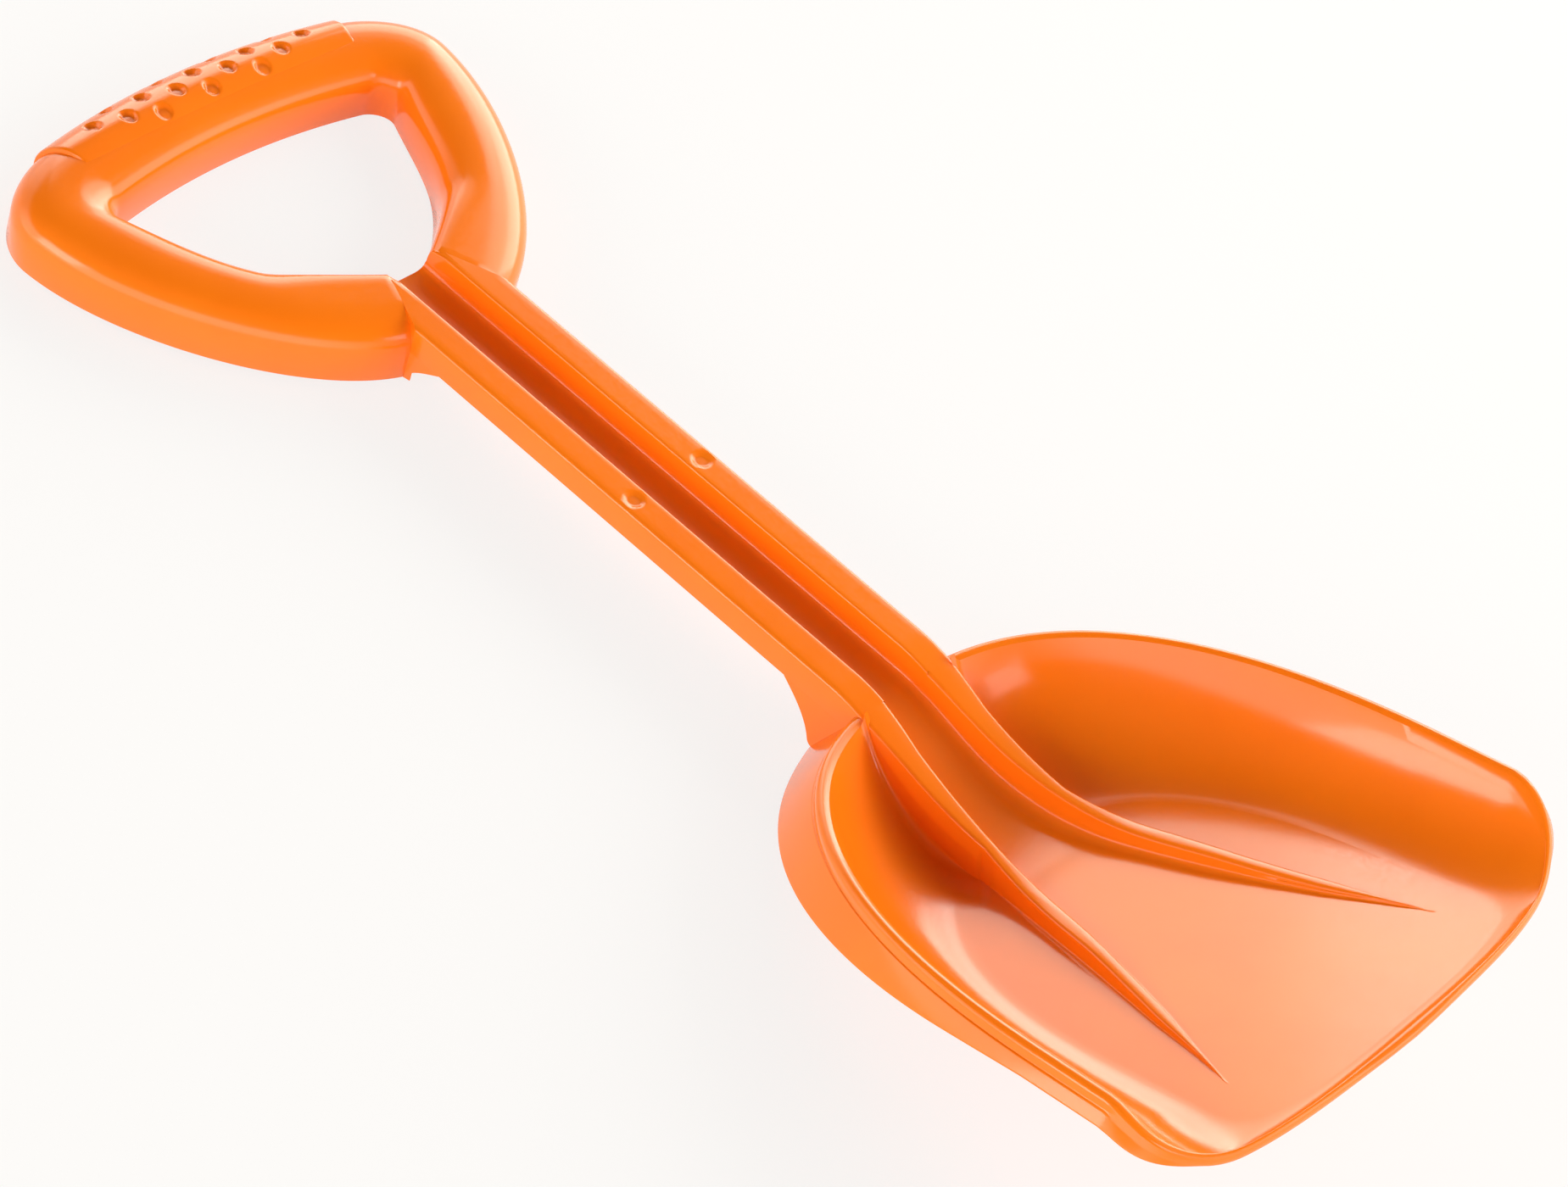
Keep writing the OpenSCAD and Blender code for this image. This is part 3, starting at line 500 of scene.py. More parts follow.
class SHOVEL_OT_scoop(bpy.types.Operator):
    """Curved wall of the scoop, its bead, its flared skirt and the rounded lip at the nose"""
    bl_idname = "shovel.scoop"
    bl_label = "Scoop wall and rim"

    def execute(self, context):
        p = Shape()
        maker = MeshMaker()
        stations = rim_stations()
        us = np.linspace(0, 1, 22)

        def lifted(q):
            """The wall turns up into the rib beside it."""
            e = q[0] - p.rail_x
            if e >= WALL_FILLET or q[1] < p.root_y:
                return q
            rise = WALL_FILLET - math.sqrt(max(0, WALL_FILLET ** 2 - (WALL_FILLET - e) ** 2))
            return q + np.array([0, 0, rise * smooth((q[1] - p.root_y) / FILLET_RUN)])

        maker.grid([[lifted(p.top(w, u)) if w > 1 else p.top(w, u) for u in us] for w in stations])
        maker.grid([[p.under(w, u) for u in us] for w in stations], flip=True)
        rim = []
        for w in stations:
            outer = self.skirt_rim(p, w)
            k = smooth((w - LIP_FROM) / (1 - LIP_FROM)) ** 0.9
            rim.append(mix(self.lip_rim(p, w, len(outer)), outer, k))
        maker.grid(rim)
        maker.mirror()
        maker.piece("scoop_wall", p.place, ("left_wall", "right_wall", "left_lip", "right_lip",
                                            "left_skirt", "right_skirt"))
        return {"FINISHED"}

    @staticmethod
    def lip_rim(p, w, count):
        """Rounded lip, a little thicker than the wall, so that a fine dark line runs inside it."""
        a, b = p.top(w, 1), p.under(w, 1)
        o, s = p.out(w, 1)
        along = np.array([o[0], o[1], s]) / math.sqrt(1 + s * s) * p.shell_t / 2
        t = np.linspace(-0.3, math.pi + 0.3, count)[:, None]
        middle = (a + b) / 2 - LIP_BACK * along
        row = middle + LIP_THICK * (a - b) / 2 * np.cos(t) + LIP_LONG * along * np.sin(t)
        row[0], row[-1] = a, b
        return row

    @staticmethod
    def skirt_rim(p, w):
        """Bead, groove, fold and skirt from the wall's top to its underside. The groove ends where the
        nose begins."""
        a, fold, foot = p.skirt(max(w, 1.0))
        t, grooved = p.shell_t, 0.04 + 0.96 * smooth((w - 0.985) / 0.03)
        bead = [p.bead_r * np.array([1 + math.cos(b), BEAD_FLAT * (math.sin(b) - 0.5)])
                for b in np.radians(np.linspace(118, 12, 9))]
        bottom = np.array([2 * p.bead_r + 0.25 * p.groove_w, -p.groove_d])
        groove = mix((bead[-1] + fold) / 2, bottom, grooved)
        start = p.under(w, 1) - p.top(w, 1)
        path = rounded([(0, 0), *bead, groove, fold, foot, foot - np.array([t / math.cos(a), 0]),
                        fold - t * np.array([math.cos(a), math.sin(a)]), (np.hypot(*start[:2]), start[2])],
                       [0.3] + [0.05] * 7 + [0.3, 0.5, 1.1, 0.6, 0.6, 1.0], 4)
        row = np.array([p.rim_point(w, *q) for q in path])
        row[-1] = p.under(w, 1)
        return row


# Rise of a rib's crest above the floor, per millimetre from its tip
RIB_RISE = 0.07
# Share of a rib's width that each side loses at its tip, and the lengths over which width and height grow
RIB_TAPER, TAPER_LEN, FADE_LEN = 0.36, 26, 7
# How far the floor reaches under the wall's foot
FOOT_TUCK = 0.15


class SHOVEL_OT_floor(bpy.types.Operator):
    """Flat floor of the scoop with the two tapering ribs and the ramp that rises between them"""
    bl_idname = "shovel.floor"
    bl_label = "Floor, ribs and ramp"

    def execute(self, context):
        p = Shape()
        maker = MeshMaker()
        ys = np.concatenate([np.linspace(p.back_y, p.root_y, 44), p.root_y - np.array([0.05, 0.15, 0.35]),
                             np.linspace(p.root_y, p.ramp_y, 22)[1:],
                             p.ramp_y + (p.tip_y - p.ramp_y) * np.linspace(0, 1, 70)[1:]])
        xi, xo = p.rib_lines(ys)
        taper = RIB_TAPER * (xo - xi) * (1 - smooth((ys - p.tip_y) / TAPER_LEN))
        xi, xo = xi + taper, xo - taper
        foot = np.array([p.plan(w, 0.0) for w in np.linspace(0, 2, 161)])

        def foot_x(y):
            """Half width of the floor at the wall's foot, with a little under the wall."""
            return float(np.interp(y, foot[:, 1], foot[:, 0])) + FOOT_TUCK

        turn = np.linspace(0, math.pi / 2, 6)
        rows, lows = [], []
        for y, a, b in zip(ys, xi, xo):
            base = float(p.channel(y))
            on_floor = y <= p.root_y
            side = 0 if on_floor else min(base, float(p.wall_end(y)))
            fade = smooth((y - p.tip_y) / FADE_LEN)
            crest = float(p.crest(y)) - base
            full = RIB_RISE * (y - p.tip_y) * (1 - smooth((y - 40) / 45))
            h = max(math.hypot(crest, full), 0.05) * fade
            top, w = base + h, b - a
            # f and g lean the rib's sides in, r rounds its crest, qi and q are the fillets at its feet
            f = min(0.12 * h, 0.3 * w) * clip((p.back_y - y) / 12)
            g = max(f, min(0.3 * h, 0.3 * w) * (1 - smooth((y - 35) / 34)))
            r = min(1.15, 0.3 * (w - f - g), 0.5 * h)
            qi = min(3.4, 0.45 * h, 0.48 * a)
            q = min(2.2, 0.6 * h) * clip((y - p.tip_y) / 6 + 0.02) * smooth((p.root_y - y) / 22)
            start = a - qi
            # A point close to each foot keeps the shading of the floor beside it flat
            near = min(0.4, 0.2 * start)
            row = [(x, base) for x in (*np.linspace(0, start - near, 6), start)]
            row += [(start + (a + f * 0.3 - start) * math.sin(t), base + qi * (1 - math.cos(t)))
                    for t in turn[1:]]
            row += [(a + f + r * (1 - math.cos(t)), top - r + r * math.sin(t)) for t in turn]
            row += [(b - g - r * (1 - math.sin(t)), top - r + r * math.cos(t)) for t in turn]
            if on_floor:
                out = q * 0.6 + g * 0.3
                row += [(b - g * 0.3 + out * (1 - math.cos(t)), 0.3 * min(q, h) * (1 - math.sin(t)))
                        for t in turn]
            else:
                row += [(b, mix(top - r, side - 1, t)) for t in np.linspace(0.2, 1, len(turn))]
            edge, foot_z = row[-1]
            reach = max(foot_x(y), edge + 0.01) if on_floor else edge
            row += [(x, foot_z) for x in (mix(edge, reach, 0.012), *np.linspace(edge, reach, 9)[1:])]
            rows.append([(x, y, z) for x, z in row])
            low = [(x, mix(base, base if on_floor else side, x / b) - p.shell_t)
                   for x in np.linspace(0, b, 7)]
            low += [(x, side - p.shell_t) for x in np.linspace(b, reach, 9)]
            lows.append([(x, y, z) for x, z in low])
        # In front of the rib tips the rows only narrow, and lie closer together where the edge turns across
        tip_row, tip_low, tip_reach = rows[-1], lows[-1], rows[-1][-1][0]
        closer = 1 - (1 - np.linspace(0, 1, 44)[1:]) ** 2
        for y in p.tip_y - (p.nose_len * p.lip_share + p.tip_y) * closer:
            share = foot_x(y) / tip_reach
            rows.append([(x * share, y, 0) for x, _, _ in tip_row])
            lows.append([(x * share, y, -p.shell_t) for x, _, _ in tip_low])
        maker.grid(rows)
        maker.grid(lows, flip=True)
        maker.mirror()
        maker.piece("floor_ribs_ramp", p.place,
                    ("blade_floor", "blade_ramp", "left_rib", "right_rib"), merge=0.004)
        return {"FINISHED"}


# The recesses lie this far from the shaft's middle, towards the grip
RECESS_SET = 3.8
# Radius of the trough's lower corners and of the rails' ends, and of the outer edges against the inner ones
TROUGH_R, END_R, OUTER_EDGE = 3.4, 1.4, 1.9
# Share of the shaft from which its sections turn towards the arms
SPLAY_FROM = 0.8
# How far the gussets reach into their neighbours
GUSSET_SEAT = 1.4


class SHOVEL_OT_shaft(bpy.types.Operator):
    """Trough-shaped shaft: two rails with rounded edges, the trough's floor and the gussets"""
    bl_idname = "shovel.shaft"
    bl_label = "Shaft and gussets"

    def execute(self, context):
        p = Shape()
        maker = MeshMaker()
        t, r = p.shell_t, p.edge_r
        x0, x1 = p.trough_x, p.rail_x
        deep = -p.trough_d - t
        soft = OUTER_EDGE * r
        flat = [(x, 0) for x in np.linspace(x0 + r, x1 - soft, 15)[1:-1]]
        path = rounded(
            [(0, -p.trough_d), (x0, -p.trough_d), (x0, 0), *flat, (x1, 0), (x1, -p.rail_h),
             (x1 - t, -p.rail_h), (x1 - t, -t), (x0 + t, -t), (x0 + t, deep), (0, deep)],
            [TROUGH_R, r] + [0.02] * len(flat) + [soft, 0.02, 0.5, 0.8, 0.8, 0.5], 5)
        mid = p.shaft_len / 2 + RECESS_SET
        ns = np.concatenate([np.linspace(0, 14, 22), np.linspace(14, mid - 4, 18)[1:],
                             np.linspace(mid - 4, mid + 4, 33)[1:],
                             np.linspace(mid + 4, p.shaft_len, 22)[1:]])
        ends = [p.shaft_len + p.crotch_len * (x1 - min(max(x, x0), x1)) / (x1 - x0) for x, _ in path]
        splay = p.shaft_len * SPLAY_FROM
        rows = []
        for n in ns:
            row = []
            for (x, k), end in zip(path, ends):
                nn = n if n < splay else mix(splay, end, (n - splay) / (p.shaft_len - splay))
                q = p.shaft(x, nn + k * math.tan(LIFT) * clip(1 - n / 12), k)
                if k > -0.2 and x0 + r * 0.5 < x < x1 - r * 0.5:
                    d = math.hypot(x - (x0 + x1) / 2, nn - mid) / (p.recess_d / 2)
                    q = p.shaft(x, nn, k - p.recess_depth * (1 - smooth((d - 0.45) / 0.55)))
                if k > -2 or (x <= x0 and k > deep + 0.1):
                    bend = CREST_BEND if k > -2 else RAMP_BEND
                    q = q - np.array([0, 0, float(p.eased(q[1], bend))])
                # The rails' inner corners are rounded where the trough opens into the loop
                far, big = end - nn, END_R * (1 - clip((x - x0) / END_R)) + 0.01
                if k > -p.trough_d + 0.1 and x > x0 - 0.1 and far < big:
                    drop = big - math.sqrt(big ** 2 - (big - far) ** 2)
                    q = q - np.array([0, 0, drop * clip(1 + k / p.trough_d)])
                row.append(q)
            rows.append(row)
        maker.grid(rows)
        maker.face(rows[-1])
        wall = p.rail_h / math.cos(LIFT)
        top = (p.back_y + p.gusset_reach, p.rail_line(p.back_y + p.gusset_reach) - wall)
        foot = (p.back_y + p.gusset_foot, p.gusset_z + p.gusset_r)
        rear = bezier(top, foot, GUSSET, np.linspace(0, 1, 14))
        corner = [(foot[0] + p.gusset_r * (math.cos(a) - 1), foot[1] - p.gusset_r * math.sin(a))
                  for a in np.linspace(0, math.pi / 2, 8)[1:]]
        heel = p.ramp_y + p.ramp_len * ((p.gusset_z + t) / p.ramp_h) ** (1 / RAMP_POWER)
        front = [(y, min(float(p.ramp_z(y)), float(p.wall_end(y))) - t)
                 for y in np.linspace(heel, p.back_y, 10)]
        outline = [(top[0], top[1] + GUSSET_SEAT), *map(tuple, rear), *corner, *front,
                   (p.back_y, p.rail_line(p.back_y) - wall + GUSSET_SEAT)]
        self.plate(maker, outline, x1 - t, x1 - 0.02)
        start, end = (p.shaft_len - p.grip_gusset_len, -p.rail_h), (p.shaft_len, -p.grip_d)
        inside = p.shaft_len + GUSSET_SEAT
        edge = [*bezier(start, end, GUSSET, np.linspace(0, 1, 12)), (inside, -p.grip_d + 0.2),
                (inside, -p.rail_h + GUSSET_SEAT), (start[0], -p.rail_h + GUSSET_SEAT)]
        self.plate(maker, [tuple(p.shaft(0, *q)[1:]) for q in edge], x1 - t, x1 - 0.02)
        maker.mirror()
        maker.piece("shaft_gussets", p.place,
                    ("left_rail", "right_rail", "channel_floor", "left_heel_gusset",
                     "right_heel_gusset", "left_grip_gusset", "right_grip_gusset"))
        return {"FINISHED"}

    @staticmethod
    def plate(maker, outline, xa, xb, soft=0.35):
        """A flat plate between two places across the shovel, with softened edges."""
        pts = np.array(outline, float)
        centre = pts.mean(0)
        size = np.abs(pts - centre).max()
        inner = centre + (pts - centre) * (1 - soft / size)
        rings = [(inner, xa), (pts, xa + soft), (pts, xb - soft), (inner, xb)]
        rows = [[(x, y, z) for y, z in ring] for ring, x in rings]
        maker.grid(rows, closed=True)
        maker.face(rows[0], flip=True)
        maker.face(rows[-1])


def grip_lines(p, arm=46, corner=30, bar=40):
    """Inner and outer outlines of the grip's right half, from the arm's root to the crossbar's middle."""
    half, inner_half = p.grip_w / 2, p.opening_w / 2
    corner_n, inner_n = p.grip_len - p.corner_len, p.grip_len - p.bar_w - p.inner_corner_len
    bar_in = inner_half - p.inner_corner_w
    sa, sc = np.linspace(0, 1, arm), np.linspace(0, 1, corner)[1:]
    sb = np.linspace(1, 0, bar)[1:]
    outer = np.concatenate([
        bezier((p.rail_x, 0), (half, corner_n), ARM_OUTER, sa),
        bezier((half, corner_n), (p.bar_x, p.grip_len - p.bar_bow), CORNER_OUTER, sc),
        np.stack([p.bar_x * sb, p.grip_len - p.bar_bow * sb * sb], -1)])
    inner = np.concatenate([
        bezier((p.trough_x, p.crotch_len), (inner_half, inner_n), ARM_INNER, sa),
        bezier((inner_half, inner_n), (bar_in, p.grip_len - p.bar_w - p.bar_inner_bow),
               CORNER_INNER, sc),
        np.stack([bar_in * sb, p.grip_len - p.bar_w - p.bar_inner_bow * sb * sb], -1)])
    return inner, outer


# Length of an arm's root inside its rail
ARM_SEAT = 2.4
# Powers of the section's round top: its inner half at an arm's root and further on, and its outer half
ROOT_POWER, INNER_POWER, OUTER_POWER = 6.0, 2.3, 2.2
# Length over which the inner half changes
POWER_RUN = 40


class SHOVEL_OT_grip(bpy.types.Operator):
    """D-shaped grip: two arms and a crossbar of one hollow, round-topped section"""
    bl_idname = "shovel.grip"
    bl_label = "Grip"

    def execute(self, context):
        p = Shape()
        maker = MeshMaker()
        inner, outer = grip_lines(p)
        rows = []
        run = np.concatenate([[0], np.cumsum(np.linalg.norm(np.diff(outer, axis=0), axis=1))])
        for a, b, far in zip(inner, outer, run):
            w = np.linalg.norm(b - a)
            d = (b - a) / w
            power = mix(ROOT_POWER, INNER_POWER, smooth(far / POWER_RUN))
            rows.append([p.shaft(a[0] + d[0] * x, p.shaft_len + a[1] + d[1] * x, k)
                         for x, k in self.section(p, w, power)])
        # The root starts a little inside the rail, so that no slit shows between them
        seat = np.array(rows[0])
        middle = seat.mean(0)
        rows.insert(0, middle + (seat - middle) * 0.97 + (p.shaft(0, 0, 0) - p.shaft(0, ARM_SEAT, 0)))
        maker.grid(rows, closed=True)
        maker.face(rows[0])
        maker.mirror()
        maker.piece("grip", p.place, ("left_arm", "right_arm", "crossbar"))
        return {"FINISHED"}

    @staticmethod
    def section(p, w, power):
        """Round top, squarer on its inner side where the power is high, straight sides and a hollow."""
        t, lip = p.shell_t, 0.6
        over = []
        for a in np.linspace(0, math.pi, 41):
            e = 2 / power if math.cos(a) > 0 else 2 / OUTER_POWER
            over.append((w / 2 - w / 2 * np.sign(math.cos(a)) * abs(math.cos(a)) ** e,
                         p.crown_h * (abs(math.sin(a)) ** e - 1)))
        inside = [(w / 2 + (w / 2 - t) * math.cos(a), (p.crown_h - t) * math.sin(a) - p.crown_h)
                  for a in np.linspace(0, math.pi, 13)]
        low, nib = -p.grip_d, lip * 0.3
        return [(nib, low + nib), (0, low + lip), *over,
                (w, low + lip), (w - nib, low + nib), (w - lip, low), (w - t + 0.3, low), (w - t, low + 0.3),
                *inside, (t, low + 0.3), (t - 0.3, low), (lip, low)]


# Angles round the crossbar, from its inner side: where the pad starts to rise in its middle, how much
# later it starts at its ends, and over how much it rises
PAD_FROM, PAD_LATER, PAD_OVER = 58, 22, 42
# Height by which the pad stays under its full height, which keeps it inside the solids' box
PAD_UNDER = 0.06
# The dimples are cut deeper than their real depth, so that they read at the picture's size
DIMPLE_DEEPER = 1.7


class SHOVEL_OT_pad(bpy.types.Operator):
    """Raised pad over the outside of the crossbar, with rows of round dimples"""
    bl_idname = "shovel.pad"
    bl_label = "Grip pad"

    def execute(self, context):
        p = Shape()
        maker = MeshMaker()
        bar_in = p.opening_w / 2 - p.inner_corner_w
        s_list = np.linspace(-1, 1, 221)
        arc = [(a, 0) for a in np.linspace(PAD_FROM, 180, 68)]
        arc += [(180, h) for h in np.linspace(0, p.pad_reach, 14)[1:]]
        dimples = [((j - (count - 1) / 2) * p.dimple_pitch / p.bar_x, a, 0)
                   for a, count in DIMPLE_ROWS for j in range(count)]

        def frame_at(s, a, h):
            """Place on the crossbar, along it by s, round it by a and down its outer side by h, as a
            function of the height above its surface."""
            q_in = np.array([bar_in * s, p.grip_len - p.bar_w - p.bar_inner_bow * s * s])
            q_out = np.array([p.bar_x * s, p.grip_len - p.bar_bow * s * s])
            w = np.linalg.norm(q_out - q_in)
            d = (q_out - q_in) / w
            t = math.radians(a)
            c = np.array([w / 2 - w / 2 * math.cos(t), p.crown_h * (math.sin(t) - 1) - h])
            r = np.array([-math.cos(t) / (w / 2), math.sin(t) / p.crown_h])
            r /= np.linalg.norm(r)

            def at(lift):
                e = c + r * lift
                return p.shaft(q_in[0] + d[0] * e[0], p.shaft_len + q_in[1] + d[1] * e[0], e[1])
            return at

        base = np.array([[frame_at(s, a, h)(0) for a, h in arc] for s in s_list])
        centres = np.array([frame_at(*d)(0) for d in dimples])
        rows, lows = [], []
        for i, s in enumerate(s_list):
            row, low = [], []
            for k, (a, h) in enumerate(arc):
                rise = (p.pad_t - PAD_UNDER) * smooth((a - PAD_FROM - PAD_LATER * s * s) / PAD_OVER)
                rise *= smooth((p.pad_reach - h) / 1.6 + 0.15) if h > 0 else 1
                ends = (1 - abs(s)) * p.bar_x
                rise *= math.sqrt(clip(1 - (1 - clip(ends / 1.1)) ** 2) + 0.001)
                gap = np.linalg.norm(centres - base[i, k], axis=1).min() / (p.dimple_d / 2)
                bowl = DIMPLE_DEEPER * p.dimple_depth * (1 - smooth((gap - 0.5) / 0.52))
                at = frame_at(s, a, h)
                # Where the pad has faded out, its border dips below the crossbar's surface
                row.append(at(rise - min(bowl, rise * 0.85) - 0.25 * (1 - smooth(rise / 0.12))))
                low.append(at(-0.5))
            rows.append(row)
            lows.append(low)
        maker.grid(rows)
        maker.grid(lows, flip=True)
        rows, lows = np.array(rows), np.array(lows)
        maker.grid([rows[0], lows[0]])
        maker.grid([rows[-1], lows[-1]], flip=True)
        maker.grid([rows[:, 0], lows[:, 0]], flip=True)
        maker.grid([rows[:, -1], lows[:, -1]])
        maker.piece("grip_pad_dimpled", p.place, ("grip_pad",))
        return {"FINISHED"}


# Camera in the level-blade frame: its place in millimetres and its axes
CAMERA_AT = (-652.3, -401.0, 575.9)
CAMERA_RIGHT = (0.6467, -0.7628, 0.0)
CAMERA_UP = (0.4054, 0.3437, 0.8471)
# Focal length and sensor width in millimetres
CAMERA_LENS, CAMERA_SENSOR = 100.1, 36
# Softboxes: direction in the level-blade frame, size in metres, power in watts and colour. The fills are
# too large and near to be mirrored as they are, so the gloss skips them.
LAMPS = (
    ("left strip", (-0.90, 0.18, 0.40), (0.5, 0.6), 4.2, (1, 0.97, 0.90)),
    ("right softbox", (0.92, 0.05, 0.42), (1.3, 1.1), 13.0, (1, 0.97, 0.90)),
    ("back softbox", (0.646, 0.548, 0.53), (1.0, 1.0), 3.9, (1, 0.95, 0.78)),
    ("right fill", (0.70, -0.66, 0.24), (1.7, 1.0), 17.0, (1, 0.96, 0.88)),
    ("left fill", (-0.74, -0.62, 0.22), (1.3, 0.8), 3.5, (1, 0.96, 0.88)),
    ("front softbox", (0.10, -0.94, 0.20), (0.5, 0.36), 1.8, (1, 0.97, 0.95)),
)
# Distance of the softboxes and half width of the floor, in metres
LAMP_AWAY, FLOOR_HALF = 1.6, 6.0
# Share of its own white in the floor where it is seen directly or in a reflection
FLOOR_WHITE = 0.82
# Light tent: heights (sine of elevation) between which the walls give way to the ceiling, their radiance,
# and the share of it that is left at the tent's ends
BAND_TOP = (0.40, 0.52)
WALL_LIGHT, CEILING_LIGHT, END_SHARE = 2.6, 0.12, 0.3
# Sideways part of a direction between which the ends give way to the walls
END_BAND = (0.12, 0.55)


def look_back(way):
    """Axes of a lamp that stands in a direction and shines back at the middle."""
    z = np.array(way) / np.linalg.norm(way)
    x = np.cross((0, 0, 1), z)
    x = x / np.linalg.norm(x)
    return Matrix(np.stack([x, np.cross(z, x), z], 1).tolist())


class SHOVEL_OT_stage(bpy.types.Operator):
    """Pale floor, soft studio light and the camera"""
    bl_idname = "shovel.stage"
    bl_label = "Stage"

    def execute(self, context):
        scene = context.scene
        p = Shape()
        self.floor(scene)
        self.world(scene)
        right, up = np.array(CAMERA_RIGHT), np.array(CAMERA_UP)
        back = np.cross(right, up)
        axes = Matrix([[*r, 0] for r in np.stack([right, up, back], 1)] + [[0, 0, 0, 1]])
        cam = bpy.data.objects.new("camera", bpy.data.cameras.new("camera"))
        scene.collection.objects.link(cam)
        at = p.place @ Matrix.Translation(CAMERA_AT) @ axes
        at.translation = at.translation * MM
        cam.matrix_world = at
        cam.data.lens, cam.data.sensor_width = CAMERA_LENS, CAMERA_SENSOR
        cam.data.sensor_fit = "HORIZONTAL"
        cam.data.clip_end = 20
        scene.camera = cam
        turn = np.array(p.place.to_3x3())
        for name, way, size, power, warm in LAMPS:
            lamp = bpy.data.objects.new(name, bpy.data.lights.new(name, "AREA"))
            scene.collection.objects.link(lamp)
            lamp.data.shape, lamp.data.energy, lamp.data.color = "RECTANGLE", power, warm
            lamp.data.size, lamp.data.size_y = size
            way = turn @ (np.array(way) / np.linalg.norm(way))
            lamp.location = way * LAMP_AWAY
            lamp.rotation_euler = look_back(way).to_euler()
            lamp.visible_glossy = not name.endswith("fill")
        scene.view_settings.view_transform = "Standard"
        return {"FINISHED"}

    @staticmethod
    def floor(scene):
        """Large sheet of matt paper that stays almost white and keeps the shovel's shadow faint."""
        mesh = bpy.data.meshes.new("pale floor")
        corners = ((-1, -1), (1, -1), (1, 1), (-1, 1))
        mesh.from_pydata([(x * FLOOR_HALF, y * FLOOR_HALF, 0) for x, y in corners], [], [(0, 1, 2, 3)])
        obj = bpy.data.objects.new("pale_floor", mesh)
        scene.collection.objects.link(obj)
        looks = scene.shovel_looks
        mat = bpy.data.materials.new("studio paper matt")
        mat.use_nodes = True
        tree = mat.node_tree
        tree.nodes.clear()
        # Even and pale, with a touch of unevenness
        place = node(tree, "ShaderNodeTexCoord")
        cloud = node(tree, "ShaderNodeTexNoise", {"Scale": 2.0, "Detail": 2.0},
                     {"Vector": place.outputs["Object"]})
        tone = node(tree, "ShaderNodeValToRGB", None, {"Fac": cloud.outputs["Fac"]})
        tone.color_ramp.elements[0].color = linear("F7F6F5")
        tone.color_ramp.elements[1].color = linear(looks.floor)
        paper = node(tree, "ShaderNodeBsdfPrincipled", {"Roughness": 0.95, "Specular IOR Level": 0.1},
                     {"Base Color": tone.outputs["Color"]})
        # Seen directly or in a reflection the paper is mostly its own white
        white = node(tree, "ShaderNodeEmission", {"Color": linear("FDFCFB"), "Strength": 1.0})
        path = node(tree, "ShaderNodeLightPath")
        seen = node(tree, "ShaderNodeMath", {"operation": "MAXIMUM"},
                    {0: path.outputs["Is Camera Ray"], 1: path.outputs["Is Glossy Ray"]})
        share = node(tree, "ShaderNodeMath", {"operation": "MULTIPLY", 1: FLOOR_WHITE},
                     {0: seen.outputs[0]})
        both = node(tree, "ShaderNodeMixShader", None,
                    {0: share.outputs[0], 1: paper.outputs["BSDF"], 2: white.outputs[0]})
        node(tree, "ShaderNodeOutputMaterial", None, {"Surface": both.outputs[0]})
        mesh.materials.append(mat)

    @staticmethod
    def world(scene):
        """Light tent: bright low walls that the gloss mirrors, and a dim ceiling."""
        world = bpy.data.worlds.new("studio")
        scene.world = world
        world.use_nodes = True
        tree = world.node_tree
        tree.nodes.clear()
        place = node(tree, "ShaderNodeTexCoord")
        split = node(tree, "ShaderNodeSeparateXYZ", None, {0: place.outputs["Generated"]})
        level = node(tree, "ShaderNodeMapRange",
                     {"From Min": BAND_TOP[0], "From Max": BAND_TOP[1],
                      "To Min": WALL_LIGHT, "To Max": CEILING_LIGHT},
                     {"Value": split.outputs["Z"]})
        level.interpolation_type = "SMOOTHSTEP"
        # The tent is open at both ends, where the shaft points
        aside = node(tree, "ShaderNodeMath", {"operation": "ABSOLUTE"}, {0: split.outputs["X"]})
        ends = node(tree, "ShaderNodeMapRange",
                    {"From Min": END_BAND[0], "From Max": END_BAND[1],
                     "To Min": END_SHARE, "To Max": 1.0},
                    {"Value": aside.outputs[0]})
        glow = node(tree, "ShaderNodeMath", {"operation": "MULTIPLY"},
                    {0: level.outputs["Result"], 1: ends.outputs["Result"]})
        tent = node(tree, "ShaderNodeBackground", {"Color": linear("FFF8EC")},
                    {"Strength": glow.outputs[0]})
        node(tree, "ShaderNodeOutputWorld", None, {"Surface": tent.outputs[0]})


class SHOVEL_PT_panel(bpy.types.Panel):
    """Lists the shovel's operators and sizes"""
    bl_idname = "SHOVEL_PT_panel"
    bl_label = "Sand shovel"
    bl_space_type = "VIEW_3D"
    bl_region_type = "UI"
    bl_category = "Shovel"

    def draw(self, context):
        for op in OPERATORS:
            self.layout.operator(op.bl_idname)
        scene = context.scene
        for group in (scene.shovel_blade, scene.shovel_handle, scene.shovel_looks):
            for name in group.__annotations__:
                self.layout.prop(group, name)


OPERATORS = (SHOVEL_OT_scoop, SHOVEL_OT_floor, SHOVEL_OT_shaft, SHOVEL_OT_grip, SHOVEL_OT_pad,
             SHOVEL_OT_stage)
CLASSES = (ShovelBladeSizes, ShovelHandleSizes, ShovelLooks, *OPERATORS, SHOVEL_PT_panel)


def register():
    for c in CLASSES:
        bpy.utils.register_class(c)
    bpy.types.Scene.shovel_blade = bpy.props.PointerProperty(type=ShovelBladeSizes)
    bpy.types.Scene.shovel_handle = bpy.props.PointerProperty(type=ShovelHandleSizes)
    bpy.types.Scene.shovel_looks = bpy.props.PointerProperty(type=ShovelLooks)


def unregister():
    del bpy.types.Scene.shovel_blade
    del bpy.types.Scene.shovel_handle
    del bpy.types.Scene.shovel_looks
    for c in reversed(CLASSES):
        bpy.utils.unregister_class(c)


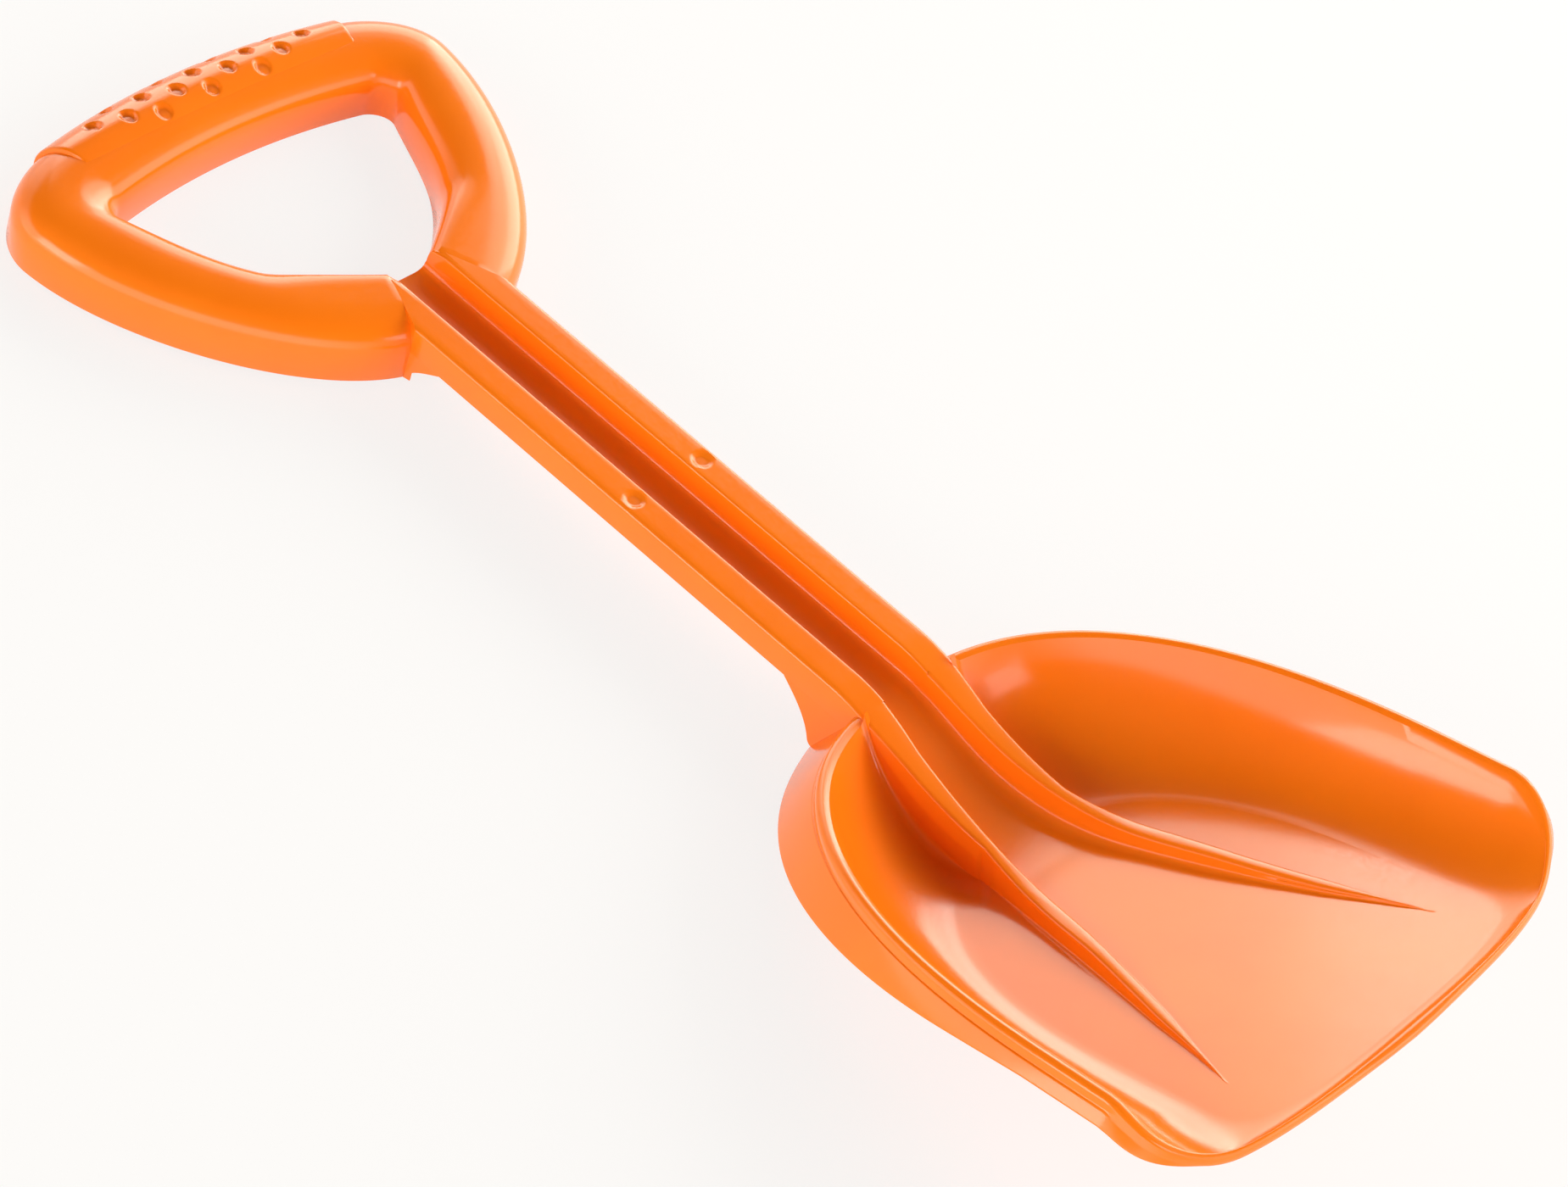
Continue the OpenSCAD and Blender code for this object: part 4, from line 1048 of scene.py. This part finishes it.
def main():
    register()
    bpy.ops.shovel.scoop()
    bpy.ops.shovel.floor()
    bpy.ops.shovel.shaft()
    bpy.ops.shovel.grip()
    bpy.ops.shovel.pad()
    bpy.ops.shovel.stage()


if __name__ == "__main__":
    main()
